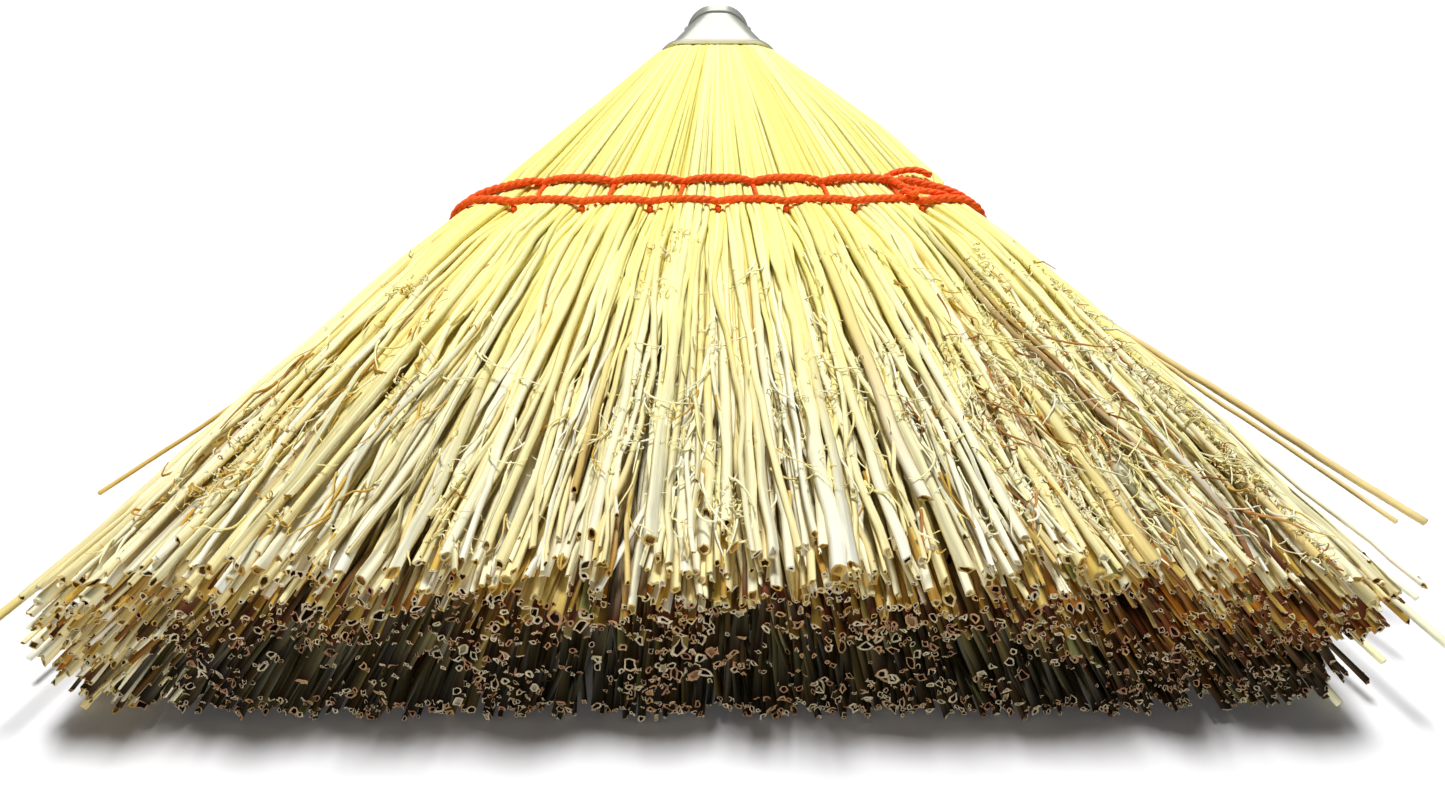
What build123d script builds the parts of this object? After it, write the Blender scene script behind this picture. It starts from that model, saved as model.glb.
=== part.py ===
from build123d import *
import math
import os
import random

os.makedirs("parts", exist_ok=True)

# Corn whisk broom, lying on its back on a flat surface at z = 0.
# X runs across the broom, +Y from the cut tips to the hang ring, +Z is up.
# Lengths are in millimetres and angles in degrees.
# Places along the broom are first counted from the cut tips, and origin_from_tips takes
# them to the frame, whose origin is under the middle of the broom's length.

# Lengths along the broom
corn_length = 221.5
lower_row_from_tips = 129.0
row_spacing = 11.6
head_below_row = 16.0
waist_reach = 5.0
handle_length = 80.0

# Widths and heights of the corn
tip_width = 212.0
tip_height = 33.4
stray_width = 232.0
lower_row_width = 130.0
upper_row_width = 119.0
head_height = 28.0
row_top = 27.6
row_underside = 2.0
floor_trim = 0.1

# Tin sleeve: its mouth, the straight land at its small end, and its wall
mouth_width = 37.0
mouth_height = 26.0
mouth_underside = 8.0
mouth_corner = 8.0
mouth_bead_length = 1.6
mouth_bead_rise = 0.5
tin_wall = 0.5
land_length = 6.0

# Pressed cap that closes the small end, and how far it goes over the sleeve
cap_width = 23.0
cap_height = 22.0
cap_corner = 10.0
cap_dome = 7.0
cap_overlap = 5.0

# Fits between pieces that stay still
tin_clearance = 0.1
corn_clearance = 0.2
thread_clearance = 0.15

# Corn inside the sleeve, and the steel wire that binds it there
corn_in_sleeve = 4.0
wire_diameter = 1.2
wire_pitch = 2.6
wire_turns = 9
wire_clearance = 0.4
wire_end_room = 2.0
wire_sample_count = 24

# Tacks through the narrow sides of the sleeve
tack_diameter = 1.4
tack_length = 8.0
tack_head_diameter = 3.6
tack_head_height = 0.8
tack_from_mouth = 48.0

# Screw eye in the end of the handle, and the ring that swings in it
eye_wire_diameter = 1.8
eye_shank_length = 18.0
eye_standoff = 0.3
ring_diameter = 24.0
ring_wire_diameter = 2.2
ring_play = 0.3
ring_floor_gap = 0.1

# Stitching twine
twine_diameter = 2.2
twine_bite = 0.6
twine_wave = 0.7
lower_stitch_count = 7
upper_stitch_count = 6
tail_length = 15.0
tail_from_side = 12.0

# Layers of corn: the covering hurl above and below, and what lies between
hurl_share = 0.31
side_share = 0.25
corner_share = 0.9

# Coarse stalks that stand proud of the head as ribs
rib_count = 11
rib_diameter = 3.0
rib_rise = 0.8
rib_end_gap = 1.0

# Strands
strand_columns = 40
strand_rows = 10
hurl_rows = 3
strand_width = 2.3
strand_height = 1.9
strand_root = 1.0
floor_clearance = 0.1
tip_scatter = 6.0
tip_sway = 0.9
edge_thinning_share = 0.35
full_length_every_count = 5
stray_rows = (4, 6)

# Places that follow from the sizes above, counted from the tips
upper_row_from_tips = lower_row_from_tips + row_spacing
head_from_tips = lower_row_from_tips - head_below_row
handle_end_from_tips = corn_length + handle_length
eye_inner_radius = ring_wire_diameter / 2 + ring_play
eye_radius = eye_inner_radius + eye_wire_diameter / 2
eye_reach = eye_standoff + eye_inner_radius + eye_wire_diameter
eye_height = cap_height / 2
ring_drop = eye_height - ring_wire_diameter / 2 - ring_floor_gap
ring_angle = math.degrees(math.asin(ring_drop / ring_diameter))
ring_reach = ring_diameter * math.cos(math.radians(ring_angle)) + ring_wire_diameter / 2
overall_length = handle_end_from_tips + eye_reach + ring_reach
origin_from_tips = overall_length / 2

dice = random.Random(12)


def along(from_tips):
    """Place on the Y axis of something counted from the cut tips."""
    return from_tips - origin_from_tips


def section_plane(y):
    """Upright plane across the broom: its local x is X, its local y is Z."""
    return Plane(origin=(0, y, 0), x_dir=(1, 0, 0), z_dir=(0, -1, 0))


def fan_width(from_tips):
    """Width of the corn below the lower row, where its sides run straight to the tips."""
    share = from_tips / lower_row_from_tips
    return tip_width + (lower_row_width - tip_width) * share


# Sleeve sizes at a distance beyond its mouth

taper_length = handle_length - cap_dome - cap_overlap - tin_clearance
sleeve_end = taper_length + land_length
land_width = cap_width - 2 * (tin_wall + tin_clearance)
land_height = cap_height - 2 * (tin_wall + tin_clearance)
land_corner = cap_corner - tin_wall - tin_clearance


def sleeve_section(beyond, inset):
    """Half width, half height, middle height and corner of the sleeve, drawn in by inset."""
    share = min(max(beyond / taper_length, 0), 1)
    half_width = (mouth_width + (land_width - mouth_width) * share) / 2
    half_height = (mouth_height + (land_height - mouth_height) * share) / 2
    mouth_middle = mouth_underside + mouth_height / 2
    middle = mouth_middle + (eye_height - mouth_middle) * share
    corner = mouth_corner + (land_corner - mouth_corner) * share
    return half_width - inset, half_height - inset, middle, corner - inset


def sleeve_face(beyond, inset):
    half_width, half_height, middle, corner = sleeve_section(beyond, inset)
    plane = section_plane(along(corn_length + beyond))
    outline = RectangleRounded(2 * half_width, 2 * half_height, corner)
    return (plane * Pos(0, middle) * outline).face()


def sleeve_form(start, inset):
    """Solid of the sleeve's outline from start to the sleeve's small end."""
    faces = [sleeve_face(start, inset), sleeve_face(taper_length, inset)]
    land = sleeve_face(taper_length, inset)
    return loft(faces, ruled=True) + Solid.extrude(land, Vector(0, land_length, 0))


# Corn head: every layer is a ruled form through the same stations


def head_stations():
    """Place, half width, underside, top and corner of the stitched head at each station."""
    inset = tin_wall + corn_clearance
    stations = []
    for beyond in (corn_in_sleeve, 0):
        half_width, half_height, middle, corner = sleeve_section(beyond, inset)
        y = along(corn_length + beyond)
        stations.append((y, half_width, middle - half_height, middle + half_height, corner))
    waist_slope = (upper_row_width - mouth_width) / (corn_length - upper_row_from_tips) / 2
    waist_half = upper_row_width / 2 - waist_slope * waist_reach
    row_from_tips = (upper_row_from_tips + waist_reach, lower_row_from_tips)
    for from_tips, half_width in zip(row_from_tips, (waist_half, lower_row_width / 2)):
        corner = head_corner(row_underside, row_top)
        stations.append((along(from_tips), half_width, row_underside, row_top, corner))
    for from_tips in (lower_row_from_tips - waist_reach, head_from_tips):
        half_width = fan_width(from_tips) / 2
        corner = head_corner(-floor_trim, head_height)
        stations.append((along(from_tips), half_width, -floor_trim, head_height, corner))
    return stations


def head_corner(underside, top):
    """Corner of the head, a little less than the depth of a covering layer."""
    return (top - underside) * hurl_share * corner_share


def corner_arc(centre_x, centre_z, radius, side, upward, forward):
    """Quarter arc round a corner of the section; forward runs from its side to its end."""
    beside = (centre_x + side * radius, centre_z)
    diagonal = radius / math.sqrt(2)
    middle = (centre_x + side * diagonal, centre_z + upward * diagonal)
    over = (centre_x, centre_z + upward * radius)
    if forward:
        return ThreePointArc(beside, middle, over)
    return ThreePointArc(over, middle, beside)


def hurl_outline(half_width, flat, crown, corner):
    """Outline of a covering layer: flat towards the middle, round-cornered at its crown."""
    upward = 1 if crown > flat else -1
    centre_x = half_width - corner
    centre_z = crown - upward * corner
    return [
        Line((half_width, flat), (half_width, centre_z)),
        corner_arc(centre_x, centre_z, corner, 1, upward, True),
        Line((centre_x, crown), (-centre_x, crown)),
        corner_arc(-centre_x, centre_z, corner, -1, upward, False),
        Line((-half_width, centre_z), (-half_width, flat)),
        Line((-half_width, flat), (half_width, flat)),
    ]


def hurl_head(is_top):
    """Solid head of the covering layer above or below."""
    faces = []
    for y, half_width, underside, top, corner in head_stations():
        depth = (top - underside) * hurl_share
        flat, crown = (top - depth, top) if is_top else (underside + depth, underside)
        edges = hurl_outline(half_width, flat, crown, corner)
        faces.append(section_plane(y) * make_face(edges).face())
    return loft(faces, ruled=True)


def resting_head():
    """Underside layer, trimmed flat where the broom rests on the floor."""
    floor = Box(tip_width, corn_length, head_height)
    return hurl_head(False) - Pos(0, 0, -head_height / 2) * floor


def middle_head(low_share, high_share):
    """Solid head of a middle layer between two shares of the broom's width."""
    faces = []
    for y, half_width, underside, top, _ in head_stations():
        depth = (top - underside) * hurl_share
        width = 2 * half_width * (high_share - low_share)
        centre = half_width * (high_share + low_share - 1)
        height = top - underside - 2 * depth
        outline = Pos(centre, (top + underside) / 2) * Rectangle(width, height)
        faces.append((section_plane(y) * outline).face())
    return loft(faces, ruled=True)


# Ribs: the coarsest stalks of the covering layers, half sunk in the head


def rib_place(station, share, is_top):
    """Point on a rib's centre line at one of the head's stations."""
    y, half_width, underside, top, corner = station
    sunk = rib_diameter / 2 - rib_rise
    z = top - sunk if is_top else underside + sunk
    return Vector(share * (half_width - corner), y, z)


def ribs_between(far_station, near_station, is_top):
    """Straight ribs between two stations of the head."""
    ribs = []
    for share in spread_shares(rib_count):
        start = rib_place(far_station, share, is_top)
        way = rib_place(near_station, share, is_top) - start
        start = start + way.normalized() * rib_end_gap
        length = way.length - rib_end_gap
        outline = Plane(origin=start, z_dir=way) * Circle(rib_diameter / 2)
        ribs.append(Solid.extrude(outline.face(), way.normalized() * length))
    return ribs


def top_ribs():
    """Ribs on the neck, and again from the stitching to the end of the head."""
    _, mouth, waist, _, fan_start, fan_end = head_stations()
    return ribs_between(mouth, waist, True) + ribs_between(fan_end, fan_start, True)


def underside_ribs():
    """Ribs on the neck's underside, clear of the floor."""
    _, mouth, waist, _, _, _ = head_stations()
    return ribs_between(mouth, waist, False)


# Strands: each is a straight four-sided stalk from the head to the tips


def strand_place(column_share, row_share, width, height, thinning):
    """Place in the section for shares that run from -1 to 1 across and up."""
    low = floor_clearance + strand_height / 2
    high = height - floor_clearance - strand_height / 2
    x = column_share * (width / 2 - floor_clearance - strand_width / 2)
    z = (high + low) / 2 + (high - low) / 2 * row_share * thinning
    return x, z


def strand(column_share, row_share, tip_spread, shortfall, sway):
    """One stalk; its root goes strand_root deep into the head."""
    root_width = fan_width(head_from_tips)
    root_x, root_z = strand_place(column_share, row_share, root_width, head_height, 1)
    squared = column_share**2
    thinning = 1 - edge_thinning_share * squared**2
    tip_x, tip_z = strand_place(column_share, row_share, tip_spread, tip_height, thinning)
    root = Vector(root_x, along(head_from_tips + strand_root), root_z)
    full_tip = Vector(tip_x + sway, along(0), tip_z)
    tip = root + (full_tip - root) * (1 - shortfall / head_from_tips)
    plane = Plane(origin=root, x_dir=(1, 0, 0), z_dir=(0, -1, 0))
    return Solid.extrude((plane * Rectangle(strand_width, strand_height)).face(), tip - root)


def spread_shares(count):
    """Shares from -1 to 1, the first and last at the ends."""
    return [2 * index / (count - 1) - 1 for index in range(count)]


def row_shares(row):
    """Shares across the broom of one row's stalks; every other row stands between columns."""
    if row % 2 == 0:
        return spread_shares(strand_columns)
    inset_share = 1 - 1 / (strand_columns - 1)
    return [share * inset_share for share in spread_shares(strand_columns - 1)]


def clears_neighbours(column_share, low_share, high_share):
    """Whether a stalk's root stays between the two sides of its own layer."""
    root_width = fan_width(head_from_tips)
    x, _ = strand_place(column_share, 0, root_width, head_height, 1)
    low_x = root_width * (low_share - 1 / 2) + strand_width / 2
    high_x = root_width * (high_share - 1 / 2) - strand_width / 2
    return low_x <= x <= high_x


def stands_on_head(column_share, row_share):
    """Whether a stalk's root lies clear inside the rounded corners of the head's end."""
    corner = head_corner(0, head_height)
    root_width = fan_width(head_from_tips)
    x, z = strand_place(column_share, row_share, root_width, head_height, 1)
    past_x = abs(x) - (root_width / 2 - corner)
    past_z = abs(z - head_height / 2) - (head_height / 2 - corner)
    return min(past_x, past_z) < 0 or math.hypot(past_x, past_z) < corner


def strand_block(low_share, high_share, rows):
    """Stalks of one layer between two shares of the broom's width, in some of its rows."""
    upward = spread_shares(strand_rows)
    stalks = []
    for row in rows:
        for column, share in enumerate(row_shares(row)):
            if not clears_neighbours(share, low_share, high_share):
                continue
            if not stands_on_head(share, upward[row]):
                continue
            at_side = abs(share) == 1
            stray = at_side and row in stray_rows
            full_length = stray or (column + row) % full_length_every_count == 0
            shortfall = 0 if full_length else dice.uniform(0, tip_scatter)
            sway = 0 if at_side else dice.uniform(-tip_sway, tip_sway)
            spread = stray_width if stray else tip_width
            stalks.append(strand(share, upward[row], spread, shortfall, sway))
    return stalks


# Twine: each row is one closed turn round the head, waved along its top and underside


def wave_edges(start_x, end_x, crest_z, inward, count):
    """Tangent arcs from crest to crest; inward is -1 for a top and 1 for an underside."""
    step = (end_x - start_x) / count
    quarter = step / 4
    edges = []
    middle_z = crest_z + inward * twine_wave
    dip_z = crest_z + 2 * inward * twine_wave
    radius = (quarter**2 + twine_wave**2) / (2 * twine_wave)
    half_turn = math.asin(abs(quarter) / radius) / 2
    lean_x = radius * math.sin(half_turn)
    lean_z = radius * (1 - math.cos(half_turn))
    way = 1 if step > 0 else -1
    for index in range(count):
        x = start_x + index * step
        off_crest = (x + way * lean_x, crest_z + inward * lean_z)
        edges.append(ThreePointArc((x, crest_z), off_crest, (x + quarter, middle_z)))
        dip = (x + 2 * quarter, dip_z)
        edges.append(ThreePointArc((x + quarter, middle_z), dip, (x + 3 * quarter, middle_z)))
        to_crest = (x + step - way * lean_x, crest_z + inward * lean_z)
        edges.append(ThreePointArc((x + 3 * quarter, middle_z), to_crest, (x + step, crest_z)))
    return edges


def head_half_width(from_tips):
    """Half width of the head at a place between two of its stations."""
    y = along(from_tips)
    places = [station[:2] for station in head_stations()]
    for (far_y, far_half), (near_y, near_half) in zip(places, places[1:]):
        if near_y <= y <= far_y:
            share = (y - near_y) / (far_y - near_y)
            return near_half + (far_half - near_half) * share
    return tip_width / 2


def row_wire(from_tips, count):
    """Centre line of a row of twine, half sunk in the corn all the way round."""
    half = head_half_width(from_tips) + twine_bite
    top = row_top + twine_bite
    underside = row_underside - twine_bite
    corner = head_corner(row_underside, row_top) + twine_bite
    side_x = half - corner
    high_z = top - corner
    low_z = underside + corner
    edges = wave_edges(side_x, -side_x, top, -1, count)
    edges.append(corner_arc(-side_x, high_z, corner, -1, 1, False))
    edges.append(Line((-half, high_z), (-half, low_z)))
    edges.append(corner_arc(-side_x, low_z, corner, -1, -1, True))
    edges += wave_edges(-side_x, side_x, underside, 1, count)
    edges.append(corner_arc(side_x, low_z, corner, 1, -1, False))
    edges.append(Line((half, low_z), (half, high_z)))
    edges.append(corner_arc(side_x, high_z, corner, 1, 1, True))
    plane = section_plane(along(from_tips))
    return Wire([plane * edge for edge in edges])


def row_tube(from_tips, count, diameter):
    """Round tube along a row of twine."""
    path = row_wire(from_tips, count)
    start = Plane(origin=path @ 0, z_dir=path % 0)
    return sweep(start * Circle(diameter / 2), path=path)


def stitch_places(from_tips, count):
    """Places across the broom where a row dips and its stitches go through."""
    reach = head_half_width(from_tips) - head_corner(row_underside, row_top)
    return [reach * ((2 * index + 1) / count - 1) for index in range(count)]


def stitch_rods(from_tips, count, diameter, gap):
    """Upright stitches through the corn, which stop gap short of the row's dips."""
    top = row_top + twine_bite - 2 * twine_wave - twine_diameter / 2 - gap
    underside = row_underside - twine_bite + 2 * twine_wave + twine_diameter / 2 + gap
    height = top - underside
    rods = []
    for x in stitch_places(from_tips, count):
        place = Pos(x, along(from_tips), (top + underside) / 2)
        rods.append(place * Cylinder(diameter / 2, height))
    return rods


def row_groove(from_tips):
    """Groove that a row of twine presses round the corn, as deep as its dips."""
    sunk = twine_diameter / 2 + thread_clearance - twine_bite
    half = head_half_width(from_tips)
    inner_width = 2 * (half - sunk)
    inner_height = row_top - row_underside - 2 * (sunk + 2 * twine_wave)
    outer_width = 2 * (half + twine_diameter)
    outer_height = row_top - row_underside + 2 * twine_diameter
    length = twine_diameter + 2 * thread_clearance
    plane = section_plane(along(from_tips) - length / 2)
    middle = Pos(0, (row_top + row_underside) / 2)
    inner = RectangleRounded(inner_width, inner_height, head_corner(row_underside, row_top) - sunk)
    ring = Rectangle(outer_width, outer_height) - inner
    return Solid.extrude((plane * middle * ring).face(), Vector(0, length, 0))


def twine_cuts():
    """Grooves and holes that both rows of twine leave in the corn."""
    wide = twine_diameter + 2 * thread_clearance
    cuts = []
    rows = (
        (lower_row_from_tips, lower_stitch_count),
        (upper_row_from_tips, upper_stitch_count),
    )
    for from_tips, count in rows:
        cuts.append(row_groove(from_tips))
        cuts += stitch_rods(from_tips, count, wide, 0)
    return cuts


def row_links():
    """Short lengths of twine on the top face, from the upper row's dips to the lower row."""
    gap = twine_diameter / 2 + thread_clearance
    length = row_spacing - 2 * gap
    height = row_top + twine_diameter / 2 + corn_clearance
    middle = along((lower_row_from_tips + upper_row_from_tips) / 2)
    links = []
    for x in stitch_places(upper_row_from_tips, upper_stitch_count):
        rod = Rotation(90, 0, 0) * Cylinder(twine_diameter / 2, length)
        links.append(Pos(x, middle, height) * rod)
    return links


def tie_off():
    """Tail of the twine, laid beside the upper row at its right end and trimmed."""
    height = row_top + twine_diameter / 2 + corn_clearance
    y = along(upper_row_from_tips) + twine_diameter + thread_clearance
    x = head_half_width(upper_row_from_tips) - tail_from_side
    return Pos(x, y, height) * Rotation(0, 90, 0) * Cylinder(twine_diameter / 2, tail_length)


# Bound butts of the stalks inside the sleeve, and the binding wire


wire_zone_length = wire_turns * wire_pitch + 2 * wire_end_room
wire_zone_start = corn_in_sleeve
wire_zone_end = wire_zone_start + wire_zone_length


def neck_oval(beyond, grow):
    """Half width, half height and middle of the bound neck, grown by grow."""
    inset = tin_wall + corn_clearance + 2 * wire_clearance + wire_diameter
    half_width, half_height, middle, _ = sleeve_section(beyond, inset)
    return half_width + grow, half_height + grow, middle


def neck_face(beyond):
    half_width, half_height, middle = neck_oval(beyond, 0)
    plane = section_plane(along(corn_length + beyond))
    return (plane * Pos(0, middle) * Ellipse(half_width, half_height)).face()


def stalk_butts():
    """Stalk ends packed in the sleeve, drawn in where the wire binds them."""
    neck = loft([neck_face(wire_zone_start), neck_face(wire_zone_end)], ruled=True)
    inset = tin_wall + corn_clearance
    rear = sleeve_form(wire_zone_end, inset)
    return neck + rear


def wire_quarter(index):
    """Point and direction of the wire after a number of quarter turns."""
    grow = wire_clearance + wire_diameter / 2
    beyond = wire_zone_start + wire_end_room + wire_pitch * index / 4
    half_width, half_height, middle = neck_oval(beyond, grow)
    _, _, later_middle = neck_oval(beyond + wire_pitch, grow)
    turn = math.pi / 2 * index
    x = half_width * math.cos(turn)
    z = middle + half_height * math.sin(turn)
    rise = wire_pitch / (2 * math.pi)
    sink = (later_middle - middle) / (2 * math.pi)
    direction = Vector(-half_width * math.sin(turn), rise, half_height * math.cos(turn) + sink)
    return Vector(x, along(corn_length + beyond), z), direction.normalized()


def biarc(start, start_way, end, end_way):
    """Two arcs from start to end that keep both directions."""
    chord = end - start
    both = start_way + end_way
    bend = 1 - start_way.dot(end_way)
    reach = chord.dot(both)
    span = math.sqrt(reach**2 + 2 * bend * chord.dot(chord))
    arm = (span - reach) / (2 * bend)
    first_corner = start + start_way * arm
    second_corner = end - end_way * arm
    middle = (first_corner + second_corner) * 0.5
    first = TangentArc(start, middle, tangent=start_way)
    second = TangentArc(middle, end, tangent=second_corner - first_corner)
    return [first, second]


def binding_wire():
    """One unbroken wire wound round the neck, as biarcs of a quarter turn."""
    edges = []
    for index in range(4 * wire_turns):
        start, start_way = wire_quarter(index)
        end, end_way = wire_quarter(index + 1)
        edges += biarc(start, start_way, end, end_way)
    path = Wire(edges)
    plane = Plane(origin=path @ 0, z_dir=path % 0)
    tube = sweep(plane * Circle(wire_diameter / 2), path=path)
    expected = math.pi * wire_diameter**2 / 4 * path.length
    print("binding wire volume over section times length", round(tube.volume / expected, 4))
    total = wire_sample_count * wire_turns
    samples = [path @ (index / total) for index in range(total + 1)]
    most_of_a_turn = wire_sample_count * 2 // 3
    nearest = min(
        (samples[i] - samples[j]).length
        for i in range(len(samples))
        for j in range(i + most_of_a_turn, len(samples))
    )
    print("binding wire least gap to itself", round(nearest - wire_diameter, 2), "mm")
    return tube


# Tin sleeve, cap, tacks, screw eye and ring


def tack_head_place():
    """Distance from the broom's middle to the middle of a tack's head."""
    half_width, _, _, _ = sleeve_section(tack_from_mouth, 0)
    lean_share = (mouth_width - land_width) / 2 / taper_length
    clear = tin_clearance + tack_head_diameter / 2 * lean_share
    return half_width + clear + tack_head_height / 2


def tack_rods(diameter):
    """Shanks of both tacks, from inside their heads towards the middle."""
    _, _, middle, _ = sleeve_section(tack_from_mouth, 0)
    outside = tack_head_place()
    y = along(corn_length + tack_from_mouth)
    rods = []
    for side in (-1, 1):
        x = side * (outside - tack_length / 2)
        rods.append(Pos(x, y, middle) * Rotation(0, 90, 0) * Cylinder(diameter / 2, tack_length))
    return rods


def tack_heads():
    """Low round heads that lie on the sleeve's narrow sides."""
    _, _, middle, _ = sleeve_section(tack_from_mouth, 0)
    y = along(corn_length + tack_from_mouth)
    heads = []
    for side in (-1, 1):
        x = side * tack_head_place()
        head = Cylinder(tack_head_diameter / 2, tack_head_height)
        heads.append(Pos(x, y, middle) * Rotation(0, 90, 0) * head)
    return heads


def sleeve_tacks():
    tacks = []
    for rod, head in zip(tack_rods(tack_diameter), tack_heads()):
        tacks.append(rod + head)
    return Compound(children=tacks)


def mouth_bead():
    """Thicker turned edge round the mouth."""
    half_width, half_height, middle, corner = sleeve_section(0, 0)
    grow = mouth_bead_rise
    plane = section_plane(along(corn_length))
    width = 2 * (half_width + grow)
    height = 2 * (half_height + grow)
    outline = RectangleRounded(width, height, corner + grow)
    face = (plane * Pos(0, middle) * outline).face()
    return Solid.extrude(face, Vector(0, mouth_bead_length, 0))


def metal_sleeve():
    outside = sleeve_form(0, 0) + mouth_bead()
    inside = sleeve_form(0, tin_wall)
    return outside - inside - tack_rods(tack_diameter + 2 * tin_clearance)


def cap_form(inset, depth):
    """Rounded end of the cap, drawn in by inset, whose far face is domed over."""
    start = sleeve_end - land_length + tin_clearance
    plane = section_plane(along(corn_length + start))
    width = cap_width - 2 * inset
    height = cap_height - 2 * inset
    outline = RectangleRounded(width, height, cap_corner - inset)
    face = (plane * Pos(0, eye_height) * outline).face()
    block = Solid.extrude(face, Vector(0, depth, 0))
    far = block.edges().group_by(Axis.Y)[-1]
    return fillet(far, cap_dome - inset)


def end_cap():
    start = sleeve_end - land_length + tin_clearance
    depth = handle_length - start
    shell = cap_form(0, depth) - cap_form(tin_wall, depth - tin_wall)
    return shell - eye_shank(eye_wire_diameter + 2 * thread_clearance)


def eye_centre():
    y = along(handle_end_from_tips) + eye_standoff + eye_wire_diameter + eye_inner_radius
    return Vector(0, y, eye_height)


def eye_shank(diameter):
    """Shank of the screw eye, from the eye into the stalk butts."""
    outer = eye_centre().Y - eye_radius
    place = Pos(0, outer - eye_shank_length / 2, eye_height)
    return place * Rotation(90, 0, 0) * Cylinder(diameter / 2, eye_shank_length)


def ring_eye():
    loop = Torus(eye_radius, eye_wire_diameter / 2)
    centre = eye_centre()
    loop = Pos(centre.X, centre.Y, centre.Z) * Rotation(0, 90, 0) * loop
    return loop + eye_shank(eye_wire_diameter)


def hang_ring():
    centre = eye_centre()
    loop = Pos(0, ring_diameter / 2, 0) * Torus(ring_diameter / 2, ring_wire_diameter / 2)
    return Pos(centre.X, centre.Y, centre.Z) * Rotation(-ring_angle, 0, 0) * loop


# Layers of corn with their strands

lower_rows = range(hurl_rows)
middle_rows = range(hurl_rows, strand_rows - hurl_rows)
upper_rows = range(strand_rows - hurl_rows, strand_rows)

layers = {
    "top_hurl": (hurl_head(True), strand_block(0, 1, upper_rows) + top_ribs()),
    "bottom_hurl": (resting_head(), strand_block(0, 1, lower_rows) + underside_ribs()),
    "inner_corn": (
        middle_head(side_share, 1 - side_share),
        strand_block(side_share, 1 - side_share, middle_rows),
    ),
    "left_side_corn": (
        middle_head(0, side_share),
        strand_block(0, side_share, middle_rows),
    ),
    "right_side_corn": (
        middle_head(1 - side_share, 1),
        strand_block(1 - side_share, 1, middle_rows),
    ),
}

cuts = twine_cuts()
for name, (head, stalks) in layers.items():
    layer = (head - cuts) + stalks
    export_step(layer, f"parts/{name}.step")

core = stalk_butts() - tack_rods(tack_diameter + 2 * tin_clearance)
core = core - eye_shank(eye_wire_diameter + 2 * tin_clearance)
export_step(core, "parts/stalk_butts.step")
export_step(binding_wire(), "parts/binding_wire.step")
export_step(metal_sleeve(), "parts/metal_sleeve.step")
export_step(end_cap(), "parts/end_cap.step")
export_step(sleeve_tacks(), "parts/sleeve_tacks.step")
export_step(ring_eye(), "parts/ring_eye.step")
export_step(hang_ring(), "parts/hang_ring.step")

lower_twine = row_tube(lower_row_from_tips, lower_stitch_count, twine_diameter)
upper_twine = row_tube(upper_row_from_tips, upper_stitch_count, twine_diameter)
lower_rods = stitch_rods(
    lower_row_from_tips, lower_stitch_count, twine_diameter, thread_clearance
)
upper_rods = stitch_rods(
    upper_row_from_tips, upper_stitch_count, twine_diameter, thread_clearance
)
export_step(lower_twine, "parts/lower_row_twine.step")
export_step(upper_twine, "parts/upper_row_twine.step")
export_step(Compound(children=lower_rods), "parts/lower_row_stitches.step")
export_step(Compound(children=upper_rods), "parts/upper_row_stitches.step")
export_step(Compound(children=row_links()), "parts/row_links.step")
export_step(tie_off(), "parts/tie_off_tail.step")
print("overall length", round(overall_length, 2), "ring angle", round(ring_angle, 2))
print("ring hinge at", [round(v, 3) for v in eye_centre()])
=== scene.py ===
import math

import bpy
import numpy as np
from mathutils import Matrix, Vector


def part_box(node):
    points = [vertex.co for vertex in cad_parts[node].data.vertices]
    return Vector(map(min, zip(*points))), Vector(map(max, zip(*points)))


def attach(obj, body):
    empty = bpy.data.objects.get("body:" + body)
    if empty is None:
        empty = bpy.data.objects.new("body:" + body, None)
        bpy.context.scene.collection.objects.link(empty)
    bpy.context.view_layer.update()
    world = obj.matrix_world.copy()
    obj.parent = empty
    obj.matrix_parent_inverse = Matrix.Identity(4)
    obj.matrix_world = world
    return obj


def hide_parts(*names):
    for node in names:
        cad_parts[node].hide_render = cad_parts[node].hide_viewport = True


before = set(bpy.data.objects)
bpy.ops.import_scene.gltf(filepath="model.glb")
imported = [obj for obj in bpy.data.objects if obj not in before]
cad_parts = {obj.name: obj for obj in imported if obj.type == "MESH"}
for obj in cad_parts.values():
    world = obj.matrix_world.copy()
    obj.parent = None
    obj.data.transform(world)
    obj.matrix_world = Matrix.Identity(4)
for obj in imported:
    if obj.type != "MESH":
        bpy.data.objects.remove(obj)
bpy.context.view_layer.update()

# Corn whisk broom lying on its back. Lengths are in metres, worked out from millimetres.
# X runs across the broom, -Y is the cut tips, +Y the hanging ring, +Z is up.

MM = 0.001

# Places read from the frame

corn_low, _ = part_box("bottom_hurl")
_, corn_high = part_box("top_hurl")
sleeve_low, sleeve_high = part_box("metal_sleeve")
lower_row_low, lower_row_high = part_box("lower_row_twine")
upper_row_low, upper_row_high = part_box("upper_row_twine")

TIPS_Y = corn_low[1]
TIP_TOP = corn_high[2]
MOUTH_Y = sleeve_low[1]
LOWER_ROW_Y = (lower_row_low[1] + lower_row_high[1]) / 2
UPPER_ROW_Y = (upper_row_low[1] + upper_row_high[1]) / 2

# Sizes that the construction fixes

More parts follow.
